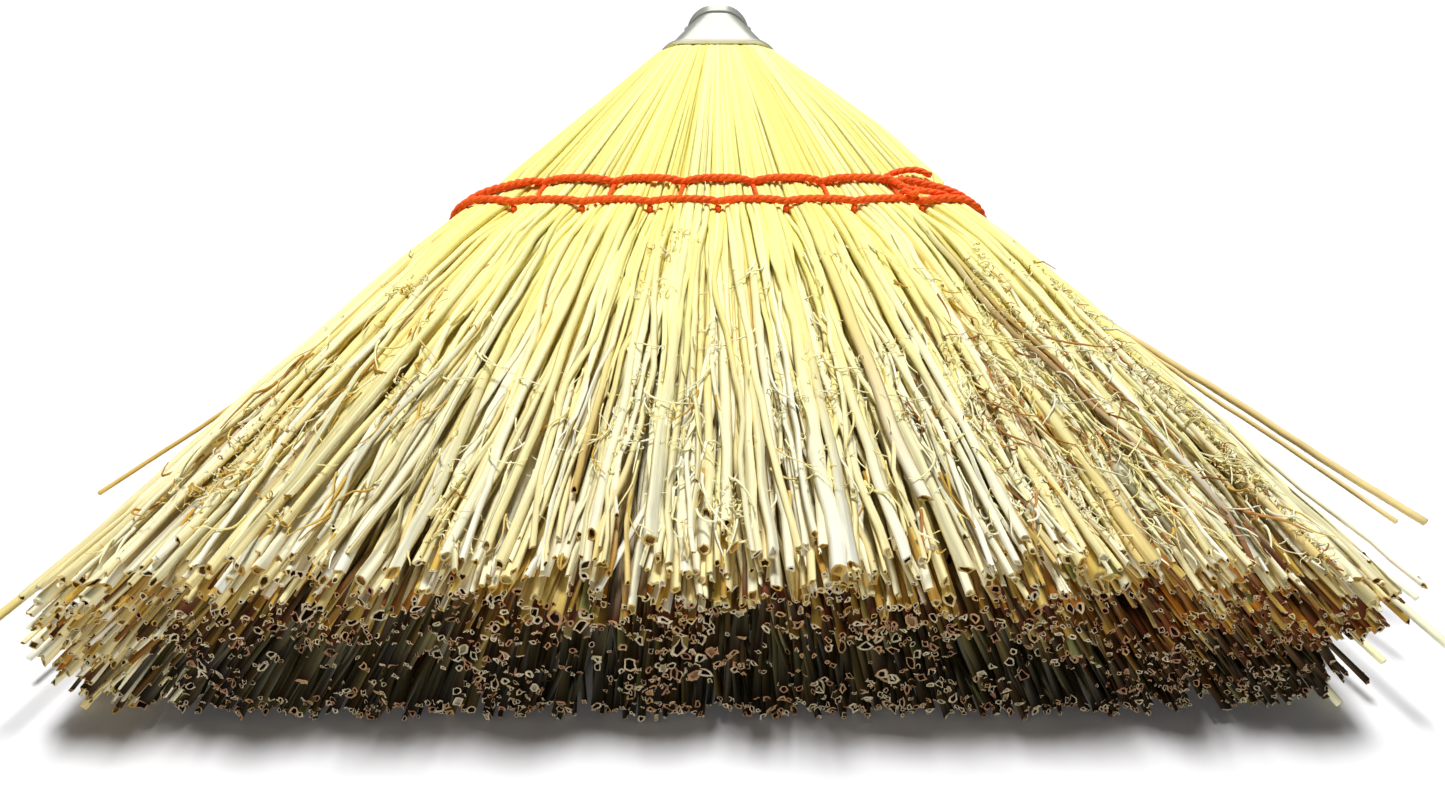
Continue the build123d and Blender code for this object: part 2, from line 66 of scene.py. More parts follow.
TWINE_RADIUS = 1.1 * MM
TWINE_BITE = 0.6 * MM
LOWER_STITCHES = 7
UPPER_STITCHES = 6
ROW_UNDERSIDE = 2.0 * MM
ROW_TOP = 27.6 * MM
ROW_CORNER = 7.1 * MM
ROW_PITCH = UPPER_ROW_Y - LOWER_ROW_Y
LOWER_HALF = (lower_row_high[0] - lower_row_low[0]) / 2 - TWINE_RADIUS - TWINE_BITE
UPPER_HALF = (upper_row_high[0] - upper_row_low[0]) / 2 - TWINE_RADIUS - TWINE_BITE
LOWER_REACH = LOWER_HALF - ROW_CORNER
UPPER_REACH = UPPER_HALF - ROW_CORNER
TIP_HALF = 106.0 * MM
LEFT_DRAW = 3.5 * MM
RIGHT_DRAW = 7.0 * MM
SHOULDER_SWELL = 4.5 * MM
ROLLED_MOUTH = 1.2 * MM
MOUTH_HALF = (sleeve_high[0] - sleeve_low[0]) / 2 - ROLLED_MOUTH
MOUTH_UNDERSIDE = 8.7 * MM
MOUTH_TOP = 33.3 * MM
STALK_RADIUS = 0.6 * MM
STALK_SPACING = 1.25 * MM
STALK_SIDES = 8
FLOOR_GAP = 0.2 * MM

# How the corn fills its outline: at the tips, where it flares below the rows, at each row,
# where it swells out of the sleeve, and at the sleeve's mouth

FLARE_Y = LOWER_ROW_Y - 20 * MM
FLARE_HALF = 72.6 * MM
FLARE_TOP = 29.5 * MM
SWELL_Y = MOUTH_Y - 5 * MM
SWELL_HALF = 22.0 * MM
SWELL_UNDERSIDE = 7.6 * MM
SWELL_TOP = 33.9 * MM
STATION_Y = np.array([TIPS_Y, FLARE_Y, LOWER_ROW_Y, UPPER_ROW_Y, SWELL_Y, MOUTH_Y])
STATION_HALF = np.array([TIP_HALF, FLARE_HALF, LOWER_HALF, UPPER_HALF, SWELL_HALF, MOUTH_HALF])
STATION_LOW = np.array(
    [FLOOR_GAP, FLOOR_GAP, ROW_UNDERSIDE, ROW_UNDERSIDE, SWELL_UNDERSIDE, MOUTH_UNDERSIDE]
)
STATION_TOP = np.array([TIP_TOP, FLARE_TOP, ROW_TOP, ROW_TOP, SWELL_TOP, MOUTH_TOP])
STATION_CORNER_X = np.array([46.0, 16.0, 8.0, 8.0, 8.0, 7.0]) * MM
STATION_CORNER_Z = np.array([8.0, 8.0, 7.5, 7.5, 7.5, 7.0]) * MM

# Shares up and across the section that part the corn into its layers: covering corn beyond
# HURL_SHARE up or down, its open face beyond FACE_SHARE, side corn beyond SIDE_SHARE across

HURL_SHARE = 0.38
FACE_SHARE = 0.78
SIDE_SHARE = 0.5

UP_Z = (0.0, 0.0, 1.0)
ALONG_Y = (0.0, 1.0, 0.0)

dice = np.random.default_rng(20)


def linear(hex_colour):
    """Linear RGB of an sRGB hex colour."""
    channels = [int(hex_colour[start:start + 2], 16) / 255 for start in (1, 3, 5)]
    return [
        channel / 12.92 if channel <= 0.04045 else ((channel + 0.055) / 1.055) ** 2.4
        for channel in channels
    ]


def linear_rgba(hex_colour):
    """The same with full opacity, as sockets take it."""
    return (*linear(hex_colour), 1.0)


def rising(value, start, width):
    """0 up to start, then rising evenly to 1 over width."""
    return np.clip((value - start) / width, 0, 1)


def below_share(y):
    """How far y lies from the lower row of twine, 0, to the cut tips, 1."""
    return (LOWER_ROW_Y - y) / (LOWER_ROW_Y - TIPS_Y)


# Meshes


def mesh_object(name, points, polygon_groups, colours=None, grain=None):
    """Smooth object from an array of points and arrays of polygons, coloured point by point.

    Grain is a place in each stalk's own surface: round it, along it, and which stalk it is.
    """
    mesh = bpy.data.meshes.new(name)
    loops = []
    sizes = []
    for group in polygon_groups:
        group = np.asarray(group, dtype=np.int32)
        loops.append(group.ravel())
        sizes.append(np.full(len(group), group.shape[1], dtype=np.int32))
    loops = np.concatenate(loops)
    sizes = np.concatenate(sizes)
    starts = np.concatenate([[0], np.cumsum(sizes)[:-1]]).astype(np.int32)
    mesh.vertices.add(len(points))
    mesh.vertices.foreach_set("co", np.asarray(points, dtype=np.float32).ravel())
    mesh.loops.add(len(loops))
    mesh.loops.foreach_set("vertex_index", loops)
    mesh.polygons.add(len(sizes))
    mesh.polygons.foreach_set("loop_start", starts)
    mesh.polygons.foreach_set("use_smooth", np.full(len(sizes), True))
    mesh.update(calc_edges=True)
    if colours is not None:
        layer = mesh.color_attributes.new("fibre_colour", "FLOAT_COLOR", "POINT")
        rgba = np.ones((len(points), 4), dtype=np.float32)
        rgba[:, :3] = colours
        layer.data.foreach_set("color", rgba.ravel())
    if grain is not None:
        layer = mesh.attributes.new("grain", "FLOAT_VECTOR", "POINT")
        layer.data.foreach_set("vector", np.asarray(grain, dtype=np.float32).ravel())
    piece = bpy.data.objects.new(name, mesh)
    bpy.context.scene.collection.objects.link(piece)
    return piece


def path_frames(paths, level):
    """Side and up directions along many paths, kept level so that no tube twists."""
    ways = np.gradient(paths, axis=1)
    ways /= np.linalg.norm(ways, axis=2, keepdims=True) + 1e-12
    sides = np.cross(ways, np.array(level))
    lengths = np.linalg.norm(sides, axis=2, keepdims=True)
    sides = np.where(lengths > 1e-3, sides / (lengths + 1e-12), np.array([1.0, 0.0, 0.0]))
    return sides, np.cross(sides, ways)


def tube_rings(paths, radii, across, upward, level=UP_Z):
    """Points of the rings round many paths; across and upward give each path's section."""
    sides, ups = path_frames(paths, level)
    wide = radii[:, :, None, None] * across[:, None, :, None] * sides[:, :, None, :]
    tall = radii[:, :, None, None] * upward[:, None, :, None] * ups[:, :, None, :]
    return paths[:, :, None, :] + wide + tall


def round_sections(count, sides):
    """Circular sections for tube_rings."""
    angles = np.linspace(0, 2 * math.pi, sides, endpoint=False)[None, :]
    angles = np.repeat(angles, count, axis=0)
    return np.cos(angles), np.sin(angles)


def stalk_sections(count, sides):
    """Sections of dried stalks: rounds with a few ridges, flattened and turned at random."""
    angles = np.linspace(0, 2 * math.pi, sides, endpoint=False)[None, :]
    turn = dice.uniform(0, 2 * math.pi, (count, 1))
    ridges = dice.integers(2, 5, (count, 1))
    depth = dice.uniform(0.02, 0.2, (count, 1))
    lobes = 1 + depth * np.cos(ridges * angles) + dice.uniform(-0.13, 0.13, (count, sides))
    flat = 1 - 0.45 * dice.random((count, 1)) ** 2
    x = np.cos(angles + turn) * lobes
    y = np.sin(angles + turn) * lobes * flat
    lean = dice.uniform(0, math.pi, (count, 1))
    return x * np.cos(lean) - y * np.sin(lean), x * np.sin(lean) + y * np.cos(lean)


def tube_faces(tubes, rings, sides):
    """Quads of the tubes' walls, and the polygons that close their two ends."""
    first = np.arange(tubes)[:, None, None] * rings * sides
    ring = np.arange(rings - 1)[None, :, None] * sides
    side = np.arange(sides)[None, None, :]
    here = first + ring + side
    beside = first + ring + (side + 1) % sides
    quads = np.stack([here, beside, beside + sides, here + sides], axis=-1).reshape(-1, 4)
    ends = np.arange(tubes)[:, None] * rings * sides
    starts = ends + np.arange(sides)[None, ::-1]
    lasts = ends + (rings - 1) * sides + np.arange(sides)[None, :]
    return quads, starts, lasts


# Corn stalks


def outline_at(y):
    """Half width, lowest, highest and corner sizes of the corn at places along it."""
    columns = (STATION_HALF, STATION_LOW, STATION_TOP, STATION_CORNER_X, STATION_CORNER_Z)
    return [np.interp(y, STATION_Y, column) for column in columns]


def place_in_section(across, upward, y, inset=0.0):
    """X and Z for shares from -1 to 1 across and up the corn's section at y."""
    half, low, top, corner_x, corner_z = outline_at(y)
    middle = (low + top) / 2
    half_height = (top - low) / 2 - inset
    from_side = np.clip((1 - np.abs(across)) * half / corner_x, 0, 1)
    lost = corner_z * (1 - np.sqrt(1 - (1 - from_side) ** 2))
    return across * (half - inset), middle + upward * (half_height - lost)


def stitch_valley(x, reach, count):
    """1 where a stitch goes through the corn and 0 between, for places across a row."""
    pitch = 2 * reach / count
    phase = (x + reach) / pitch
    inside = np.abs(x) < reach
    return np.where(inside, (0.5 - 0.5 * np.cos(2 * math.pi * phase)) ** 4, 0)


def stalk_seeds():
    """Shares across and up of stalks packed in the section at the lower row of twine."""
    half = LOWER_HALF - STALK_SPACING / 2
    half_height = (ROW_TOP - ROW_UNDERSIDE) / 2 - STALK_SPACING / 2
    # Each row of round stalks lies in the gaps of the row under it
    row_step = STALK_SPACING * math.sqrt(3) / 2
    rows = int(2 * half_height / row_step) + 1
    columns = int(2 * half / STALK_SPACING) + 1
    across = []
    upward = []
    for row in range(rows):
        offset = 0.5 * (row % 2)
        across.append((np.arange(columns) + offset) / (columns - 0.5) * 2 - 1)
        upward.append(np.full(columns, row / (rows - 1) * 2 - 1))
    across = np.concatenate(across)
    upward = np.concatenate(upward)
    shake = 0.25 * STALK_SPACING
    across = across + dice.normal(0, shake, len(across)) / half
    upward = upward + dice.normal(0, shake, len(upward)) / half_height
    return np.clip(across, -1, 1), np.clip(upward, -1, 1)


def extra_seeds(left_count, right_count, low_count, inner_count):
    """Shares across and up of more stalks: along the two sides, lowest of all, and inside."""
    left = dice.uniform(-1.0, -0.9, left_count)
    right = dice.uniform(0.5, 1.0, right_count)
    within = dice.uniform(-0.95, 0.95, low_count + inner_count)
    beside = dice.uniform(-0.98, 1.0, left_count + right_count)
    under = dice.uniform(-1.0, -0.8, low_count)
    inner = dice.uniform(-0.85, 0.5, inner_count)
    return np.concatenate([left, right, within]), np.concatenate([beside, under, inner])


def soft_noise(x, y, seed):
    """Smooth pattern between about -1 and 1, the sum of a few slanted waves."""
    own = np.random.default_rng(seed)
    total = np.zeros_like(x)
    for _ in range(6):
        slant = own.uniform(0, 2 * math.pi)
        pace = own.uniform(0.6, 1.6)
        phase = own.uniform(0, 2 * math.pi)
        total += np.sin(pace * (x * math.cos(slant) + y * math.sin(slant)) + phase)
    return total / 3


UNCROWD_ROUNDS = 9
UNCROWD_NEIGHBOURS = 40


def uncrowd(x, z, radii):
    """Shifts that move the middles of tips apart until hardly any two overlap."""
    places = np.stack([x, z], axis=1)
    for _ in range(UNCROWD_ROUNDS):
        order = np.argsort(places[:, 0])
        sorted_places = places[order]
        sorted_radii = radii[order]
        push = np.zeros_like(places)
        for step in range(1, UNCROWD_NEIGHBOURS):
            gap = sorted_places[step:] - sorted_places[:-step]
            distance = np.linalg.norm(gap, axis=1) + 1e-9
            need = sorted_radii[step:] + sorted_radii[:-step]
            overlap = np.clip(need - distance, 0, None)
            move = gap / distance[:, None] * (overlap * 0.4)[:, None]
            np.add.at(push, order[step:], move)
            np.add.at(push, order[:-step], -move)
        places = places + push
        places[:, 1] = np.maximum(places[:, 1], radii)
    return places[:, 0] - x, places[:, 1] - z


# Colours of broomcorn: pale by the binding, cream along the hurl, browned at cut tips, and tips
# low in the fan darkened with painted shade

NECK_COLOURS = ("#FCF7A0", "#FAF094", "#FDF9B2", "#F8EC8C")
FACE_COLOURS = ("#FEFAC6", "#FCF4B4", "#F8ECA4", "#FEFBD8", "#F4E69C", "#FDF7CA", "#FFFDE4")
TIP_COLOURS = ("#FFFBDC", "#FCF4C4", "#F8ECB0", "#FFFDEA", "#F6E8AC", "#FDF8D2")
GOLD_COLOURS = ("#E2C468", "#D4A846", "#EAD288", "#C2923C", "#DCB656")
TAN_COLOURS = ("#F0DC8C", "#EACB78", "#F2E2A0", "#E0BC68", "#EED694")
# Browns of the tips inside the fan, which stalk_colours darkens further with painted shade
DIM_COLOURS = ("#884E16", "#72380C", "#985E12", "#622A0E", "#684616", "#BA741C", "#6C2E12")
# Tint of the painted warm shade on the stalks' undersides
BELLY_SHADE_COLOUR = "#FADCA4"
GREEN_COLOURS = ("#A8AC62", "#8C944C", "#BEBE78")
RED_COLOURS = ("#B67E42", "#C8924E", "#9A6434")
RIM_COLOURS = ("#F2DC9A", "#E6C470", "#F8EAC0", "#DCB058", "#ECD290")
LOW_RIM_COLOURS = ("#EED2A8", "#DCB07E", "#F6E4BE", "#C89670", "#E8D8AC")
# Hollows of the cut ends: brown where the end lies high, near black where it lies low; their
# darkness is painted shade
CORE_COLOURS = ("#B08A48", "#BE9654", "#8E6A30", "#5E4220")
LOW_HOLLOW_SHADE_COLOURS = ("#24120A", "#160B06", "#32200F")


def pick(palette, count):
    """One linear colour from a palette for each of count stalks."""
    table = np.array([linear(colour) for colour in palette])
    return table[dice.integers(0, len(table), count)]


def left_edge_share(across):
    """How far a stalk belongs to the left edge, where the cut ends are pale down to the floor."""
    return rising(-across, 0.82, 0.14)


def stalk_colours(across, upward, along):
    """Colour of each ring of each stalk; along runs from 0 at the neck to 1 at the tip."""
    count = len(across)
    face = rising(upward, 0.4, 0.35)
    tip = pick(TIP_COLOURS, count)
    gold = dice.random(count) < 0.1 + 0.03 * across
    tip[gold] = pick(GOLD_COLOURS, count)[gold]
    edge = left_edge_share(across)
    right = rising(across, 0.45, 0.3)
    height = np.clip((upward + 0.6) / 1.2 + 0.7 * edge + 0.4 * right, 0, 1)
    dim = dice.random(count) > np.maximum(face * (1 - 0.1 * right), 0.75 * edge)
    # Painted shade: the lower a cut end lies in the fan, the darker its tip is painted, standing
    # in for the others' shade, less so at the left edge and on the right; gold and green tips
    # below are darkened the same way
    painted_dim_shade = 0.06 + 0.94 * height[:, None] ** 2.6
    tip[dim] = pick(DIM_COLOURS, count)[dim] * painted_dim_shade[dim]
    some_gold = dim & (dice.random(count) < 0.12 + 0.6 * height**2 - 0.25 * right)
    painted_gold_shade = 0.12 + 0.8 * height[:, None] ** 1.5
    tip[some_gold] = pick(GOLD_COLOURS, count)[some_gold] * painted_gold_shade[some_gold]
    green = dice.random(count) < 0.015
    tip[green] = pick(GREEN_COLOURS, count)[green] * (0.3 + 0.4 * height[green, None])
    neck = pick(NECK_COLOURS, count)
    middle = pick(FACE_COLOURS, count)
    tan_middle = dice.random(count) < 0.05 + 0.05 * right + 0.05 * (1 - face)
    middle[tan_middle] = pick(TAN_COLOURS, count)[tan_middle]
    red_band = np.exp(-(((across - 0.68) / 0.08) ** 2))
    red_middle = dice.random(count) < 0.01 + 0.16 * red_band
    middle[red_middle] = pick(RED_COLOURS, count)[red_middle]
    to_middle = rising(along, 0.45, 0.35)[..., None]
    # Browning, with its painted shade, is short; bleaching reaches further up the stalk
    start = np.where(dim, 0.84, 0.7)[:, None]
    to_tip = rising(along, start, 0.98 - start)[..., None] ** 1.3
    colours = neck[:, None, :] * (1 - to_middle) + middle[:, None, :] * to_middle
    return colours * (1 - to_tip) + tip[:, None, :] * to_tip


# Rings of a stalk from the sleeve down to the upper row of twine
NECK_RINGS = 7


def ring_places(count, tip_y, below_rings):
    """Y of every ring: NECK_RINGS along the neck, many from the stitching to the tip."""
    start = MOUTH_Y + 3 * MM
    neck_length = start - UPPER_ROW_Y
    shoulder = UPPER_ROW_Y + neck_length * np.array([0.65, 0.35])
    neck = np.array([start, MOUTH_Y - 0.4 * MM, SWELL_Y, *shoulder, UPPER_ROW_Y + 4 * MM])
    share = np.linspace(0, 1, below_rings)[None, :]
    share = share + dice.uniform(-0.3, 0.3, (count, below_rings)) / below_rings
    share[:, 0] = 0
    share[:, -1] = 1
    top = LOWER_ROW_Y + 1 * MM
    below = top + (tip_y[:, None] - top) * share
    row = np.full((count, 1), UPPER_ROW_Y)
    return np.concatenate([np.repeat(neck[None, :], count, axis=0), row, below], axis=1)


def unsteady_walk(count, y, calm, kink):
    """Sideways drift that starts at the stitching and keeps changing direction."""
    slopes = np.zeros_like(y)
    slope = np.zeros(count)
    for ring in range(1, y.shape[1]):
        below = np.clip(below_share(y[:, ring]), 0, 1)
        slope = slope * calm + dice.normal(0, 1, count) * kink * (0.25 + 0.75 * below)
        slopes[:, ring] = np.where(below > 0, slope, 0)
    steps = -np.diff(y, axis=1, prepend=y[:, :1])
    return np.cumsum(slopes * steps, axis=1)


# Radii of the stalks in millimetres: usual on the open face, usual elsewhere, their range,
# and the range of thin side stems
FACE_RADIUS_MM = 0.64
INNER_RADIUS_MM = 0.54
STALK_RADII_MM = (0.4, 1.05)
THIN_RADII_MM = (0.26, 0.46)
# Height by which the loosest stalks lie over their neighbours
LOOSE_LIFT = 1.6 * MM


def stalk_sizes(across, is_face, loose):
    """Radius of each stalk: thick on the open face, finer at the sides, and a third thin."""
    count = len(across)
    thin = dice.random(count) < 0.34 + 0.25 * (loose > 0)
    usual = np.where(is_face, FACE_RADIUS_MM, INNER_RADIUS_MM)
    size = np.clip(np.exp(dice.normal(np.log(usual), 0.3, count)), *STALK_RADII_MM)
    size = np.where(thin, dice.uniform(*THIN_RADII_MM, count), size) * MM
    finer = rising(across, 0.3, 0.4) + 0.5 * rising(-across, 0.4, 0.4)
    return size * (1 - 0.3 * finer * np.where(is_face, 0.2, 1.0))


def edge_share(across):
    """How far a stalk belongs to either edge of the fan."""
    return rising(np.abs(across), 0.84, 0.16)


def cut_shortfalls(across, upward, loose):
    """How far short of the tips each stalk is cut: nearly even, but for the cases below."""
    count = len(across)
    # Bunches of stalks stand back together
    bunched = np.clip(soft_noise(across * 34, upward * 5, seed=8) + 0.1, 0, 1)
    recess = bunched * (6 - 3 * upward)
    shortfall = dice.exponential(np.where(upward > 0.75, 3.4, 1.6)) + recess
    # Openings go deep in the middle layers
    opening = soft_noise(across * 26, upward * 4, seed=11) > -0.15
    opening = opening & (edge_share(across) == 0)
    set_back = opening & (np.abs(upward + 0.3) < 0.35) & (dice.random(count) < 0.75)
    shortfall = shortfall + set_back * dice.uniform(5, 20, count)
    # The lowest stalks reach the cut, and a few of the others are much shorter
    lowest = upward < -0.82
    shortfall = np.where(lowest, dice.uniform(-1.2, 0.8, count), shortfall)
    broken = (dice.random(count) < 0.04 + 0.1 * loose) & ~lowest
    return np.where(broken, dice.uniform(6, 45, count), np.clip(shortfall, -1.2, 30)) * MM


def tip_shifts(across, upward, loose, size):
    """How far each tip moves from its even place: stalks gather in bunches with gaps between."""
    count = len(across)
    edge = edge_share(across)
    tip_x, tip_z = place_in_section(across, upward, TIPS_Y, STALK_RADIUS)
    bunch = soft_noise(across * 30, upward * 3.2, seed=3) * 2.0 * MM
    bunch = bunch + soft_noise(across * 75, upward * 6, seed=4) * 1.5 * MM
    lean = dice.normal(0, 1, count) * (1.1 * MM + 3.2 * MM * loose)
    lean = lean + np.sign(across) * edge * dice.random(count) ** 1.5 * 6 * MM
    lift = soft_noise(across * 34, upward * 4, seed=5) * 1.3 * MM * (1 - np.abs(upward))
    lift = lift + edge * dice.normal(0, 1, count) * 1.8 * MM
    aim_x = tip_x + bunch + lean
    aim_z = tip_z + lift + LOOSE_LIFT * loose
    apart_x, apart_z = uncrowd(aim_x, aim_z, size * 1.08)
    return bunch + lean + apart_x, lift + apart_z


def plan_stalks(across, upward):
    """Thickness, cut and tip place of every stalk in the broom, as one table of columns."""
    count = len(across)
    is_face = upward > FACE_SHARE
    loose = (dice.random(count) < np.where(is_face, 0.3, 0.03)) * dice.uniform(0.4, 1, count)
    size = stalk_sizes(across, is_face, loose)
    shortfall = cut_shortfalls(across, upward, loose)
    shift_x, shift_z = tip_shifts(across, upward, loose, size)
    return {
        "across": across,
        "upward": upward,
        "loose": loose,
        "size": size,
        "shortfall": shortfall,
        "shift_x": shift_x,
        "shift_z": shift_z,
    }


# How deep the stitches pull the corn's faces down, and how far the rows squeeze it all over
LOWER_VALLEY = 3.0 * MM
UPPER_VALLEY = 1.2 * MM
ROW_SQUEEZE = 0.7 * MM
SQUEEZE_REACH = 3 * MM
# The corn spreads faster the nearer it comes to the tips
SPREAD_POWER = 1.8


def pressed_in(across, y):
    """Depth by which the stitches and the rows of twine press each face of the corn in."""
    valley = stitch_valley(across * LOWER_HALF, LOWER_REACH, LOWER_STITCHES)
    near_row = np.exp(-np.abs(y - LOWER_ROW_Y) / (4 * MM))
    # Below the lower row the valleys fade out slowly, over the hurl
    fading = np.where(y < LOWER_ROW_Y, np.exp((y - LOWER_ROW_Y) / (26 * MM)), near_row)
    upper_valley = stitch_valley(across * UPPER_HALF, UPPER_REACH, UPPER_STITCHES)
    near_upper = np.exp(-np.abs(y - UPPER_ROW_Y) / (3.5 * MM))
    squeeze = ROW_SQUEEZE * np.exp(-((y - LOWER_ROW_Y) ** 2) / SQUEEZE_REACH**2)
    squeeze = squeeze + ROW_SQUEEZE * np.exp(-((y - UPPER_ROW_Y) ** 2) / SQUEEZE_REACH**2)
    return LOWER_VALLEY * valley * fading + UPPER_VALLEY * upper_valley * near_upper + squeeze


def stalk_paths(plan, radii, y):
    """X and Z of stalks' centre lines; loose stalks lie across their neighbours."""
    count = len(plan["across"])
    across = np.repeat(plan["across"][:, None], y.shape[1], axis=1)
    upward = np.repeat(plan["upward"][:, None], y.shape[1], axis=1)
    below_row = np.clip(below_share(y), 0, 1.2)
    x, z = place_in_section(across, upward, y, STALK_RADIUS)
    z = z - upward * pressed_in(across, y)
    # The right shoulder swells out between the upper row and the sleeve
    neck_share = rising(y, UPPER_ROW_Y, SWELL_Y - UPPER_ROW_Y)
    right_share = np.clip(across, 0, 1) ** 2
    x = x + SHOULDER_SWELL * right_share * np.sin(math.pi * neck_share**0.6)
    # Both edges are drawn in a little at the tips, the right one more
    drawn = RIGHT_DRAW * right_share - LEFT_DRAW * np.clip(-across, 0, 1) ** 2
    x = x - drawn * below_row**SPREAD_POWER
    # Thin stalks are more crooked
    crooked = 1 + 1.2 * (plan["size"] < 0.45 * MM)
    drift_x = unsteady_walk(count, y, calm=0.62, kink=0.042 * crooked)
    drift_z = unsteady_walk(count, y, calm=0.6, kink=0.016 * crooked)
    share = below_row / (below_row[:, -1:] + 1e-9)
    drift_x = drift_x - drift_x[:, -1:] * share**2 * 0.8
    drift_z = drift_z - drift_z[:, -1:] * share**2
    x = x + plan["shift_x"][:, None] * below_row**SPREAD_POWER + drift_x
    z = z + plan["shift_z"][:, None] * below_row**SPREAD_POWER + drift_z
    on_top = np.sin(math.pi * np.clip(below_row * 1.4, 0, 1) / 2)
    z = z + LOOSE_LIFT * plan["loose"][:, None] * on_top
    return x, np.maximum(z, radii * 1.35)


KNOTTED_SHARE = 0.4
KNOT_SWELL = 1.25


def stalk_radii(size, y):
    """Radius of each ring: stalks that swell towards the tips, with a knot in some."""
    count = len(size)
    below = np.clip(below_share(y), 0, 1)
    growth = 0.9 + 0.26 * below
    # Above and just below the stitching the stalks are pressed together and fill the section
    packed = np.exp(-((below * 1.85) ** 2))
    spread = outline_at(y)[0] / LOWER_HALF
    crowded = (0.3 * size[:, None] + 0.62 * MM) * np.clip(spread, 0.8, None)
    radii = size[:, None] * growth * (1 - packed) + packed * crowded
    knot = dice.integers(y.shape[1] // 2, y.shape[1] - 1, count)
    knotted = dice.random(count) < KNOTTED_SHARE
    at_knot = (np.arange(y.shape[1])[None, :] == knot[:, None]) & knotted[:, None]
    return radii * np.where(at_knot, KNOT_SWELL, 1.0)


# Cut ends: the hollow's share of the stalk's width, its depth, how far pith lies behind the
# rim, and how unevenly the walls tear
HOLLOW_SHARES = (0.42, 0.7)
HOLLOW_DEPTHS_MM = (0.8, 2.0)
PITH_DEPTH_MM = 0.1
TEAR = 0.16 * MM


def cut_ends(plan, walls, centre):
    """Rings of the cut ends: a bevel, a thin rim, its lip, and a hollow or pith behind it.

    The walls' last rings, at the cut, are torn unevenly in place. Also says which ends lie
    high, and which hold pith.
    """
    count = len(centre)
    last = walls[:, -1]
    hollow = dice.uniform(*HOLLOW_SHARES, count)[:, None, None]
    high_share = np.clip((plan["upward"] - 0.2) / 0.6, left_edge_share(plan["across"]), 1)
    high = dice.random(count) < high_share
    pithy = dice.random(count) < np.where(high, 0.3, 0.08)
    depth = np.zeros((count, 1, 3))
    depth[:, 0, 1] = np.where(pithy, PITH_DEPTH_MM, dice.uniform(*HOLLOW_DEPTHS_MM, count)) * MM
    tear = dice.normal(0, TEAR, (count, STALK_SIDES))
    slant = dice.normal(0, 0.3, (count, 2))
    reach = last - centre
    reach *= dice.uniform(0.78, 1.24, (count, STALK_SIDES, 1))
    last[:] = centre + reach
    tear = tear + slant[:, :1] * reach[..., 0] + slant[:, 1:] * reach[..., 2]
    last[..., 1] += tear
    bevel = centre + (last - centre) * 0.97
    bevel[..., 1] = centre[..., 1] + (tear - 0.05 * MM)
    rim = centre + (last - centre) * hollow
    rim[..., 1] = bevel[..., 1]
    lip = rim + np.array([0, 0.1 * MM, 0])
    well = centre + (last - centre) * hollow * 0.85 + depth
    return np.stack([bevel, rim, lip, well], axis=1), high, pithy


def cut_end_colours(upward, high, pithy):
    """Colours of the rings of the cut ends: a pale rim, its lip a little darker in painted shade,
    round a hollow in painted shade, or pale pith.
    """
    count = len(high)
    rim_colour = np.where(high[:, None], pick(RIM_COLOURS, count), pick(LOW_RIM_COLOURS, count))
    core_colour = np.where(high[:, None], pick(CORE_COLOURS, count), pick(LOW_HOLLOW_SHADE_COLOURS, count))
    core_colour[pithy] = rim_colour[pithy] * 0.5
    # Painted shade: rims near the floor are a little darker
    rim_colour = rim_colour * (0.7 + 0.3 * rising(upward[:, None], -1.0, 1.2))
    return np.stack([rim_colour, rim_colour * 0.9, core_colour, core_colour], axis=1)


def side_shades(along, section_z, end_rings):
    """Shade of each side of each ring: lengthwise ribs, grooves in painted shade, and bellies in
    painted warm shade.
    """
    count = len(along)
    ribs = dice.uniform(0.88, 1.0, (count, 1, STALK_SIDES, 1))
    # Painted shade: a few sides are much darker, as shade in grooves; the rest differ a little at
    # random
    groove_shaded = dice.random(ribs.shape) < 0.18
    ribs = np.where(groove_shaded, dice.uniform(0.3, 0.6, ribs.shape), ribs)
    strength = np.clip((along - 0.65) / 0.35, 0.04, 0.8)[:, :, None, None]
    wall_shade = 1 - (1 - ribs) * strength
    end_shade = dice.uniform(0.6, 1.0, (count, 1, STALK_SIDES, 1))
    end_shade = np.repeat(end_shade, end_rings, axis=1) * np.ones(3)
    # Painted shade: sides facing down are tinted warmer and darker, more so towards the tips
    belly = np.clip(0.25 - section_z, 0, 1)[:, None, :, None]
    belly_shade_reach = rising(along, 0.4, 0.3)[:, :, None, None]
    belly_shade = 1 - belly * belly_shade_reach * (1 - np.array(linear(BELLY_SHADE_COLOUR)))
    return np.concatenate([wall_shade * belly_shade, end_shade], axis=1)


def stalk_grain(size, points):
    """Places on the stalks' own surfaces: round each, along it, and a number of its own."""
    grain = np.empty_like(points)
    turn = np.linspace(0, 2 * math.pi, STALK_SIDES, endpoint=False)
    grain[..., 0] = turn[None, None, :] * size[:, None, None]
    grain[..., 1] = points[..., 1]
    grain[..., 2] = dice.random(len(points))[:, None, None]
    return grain


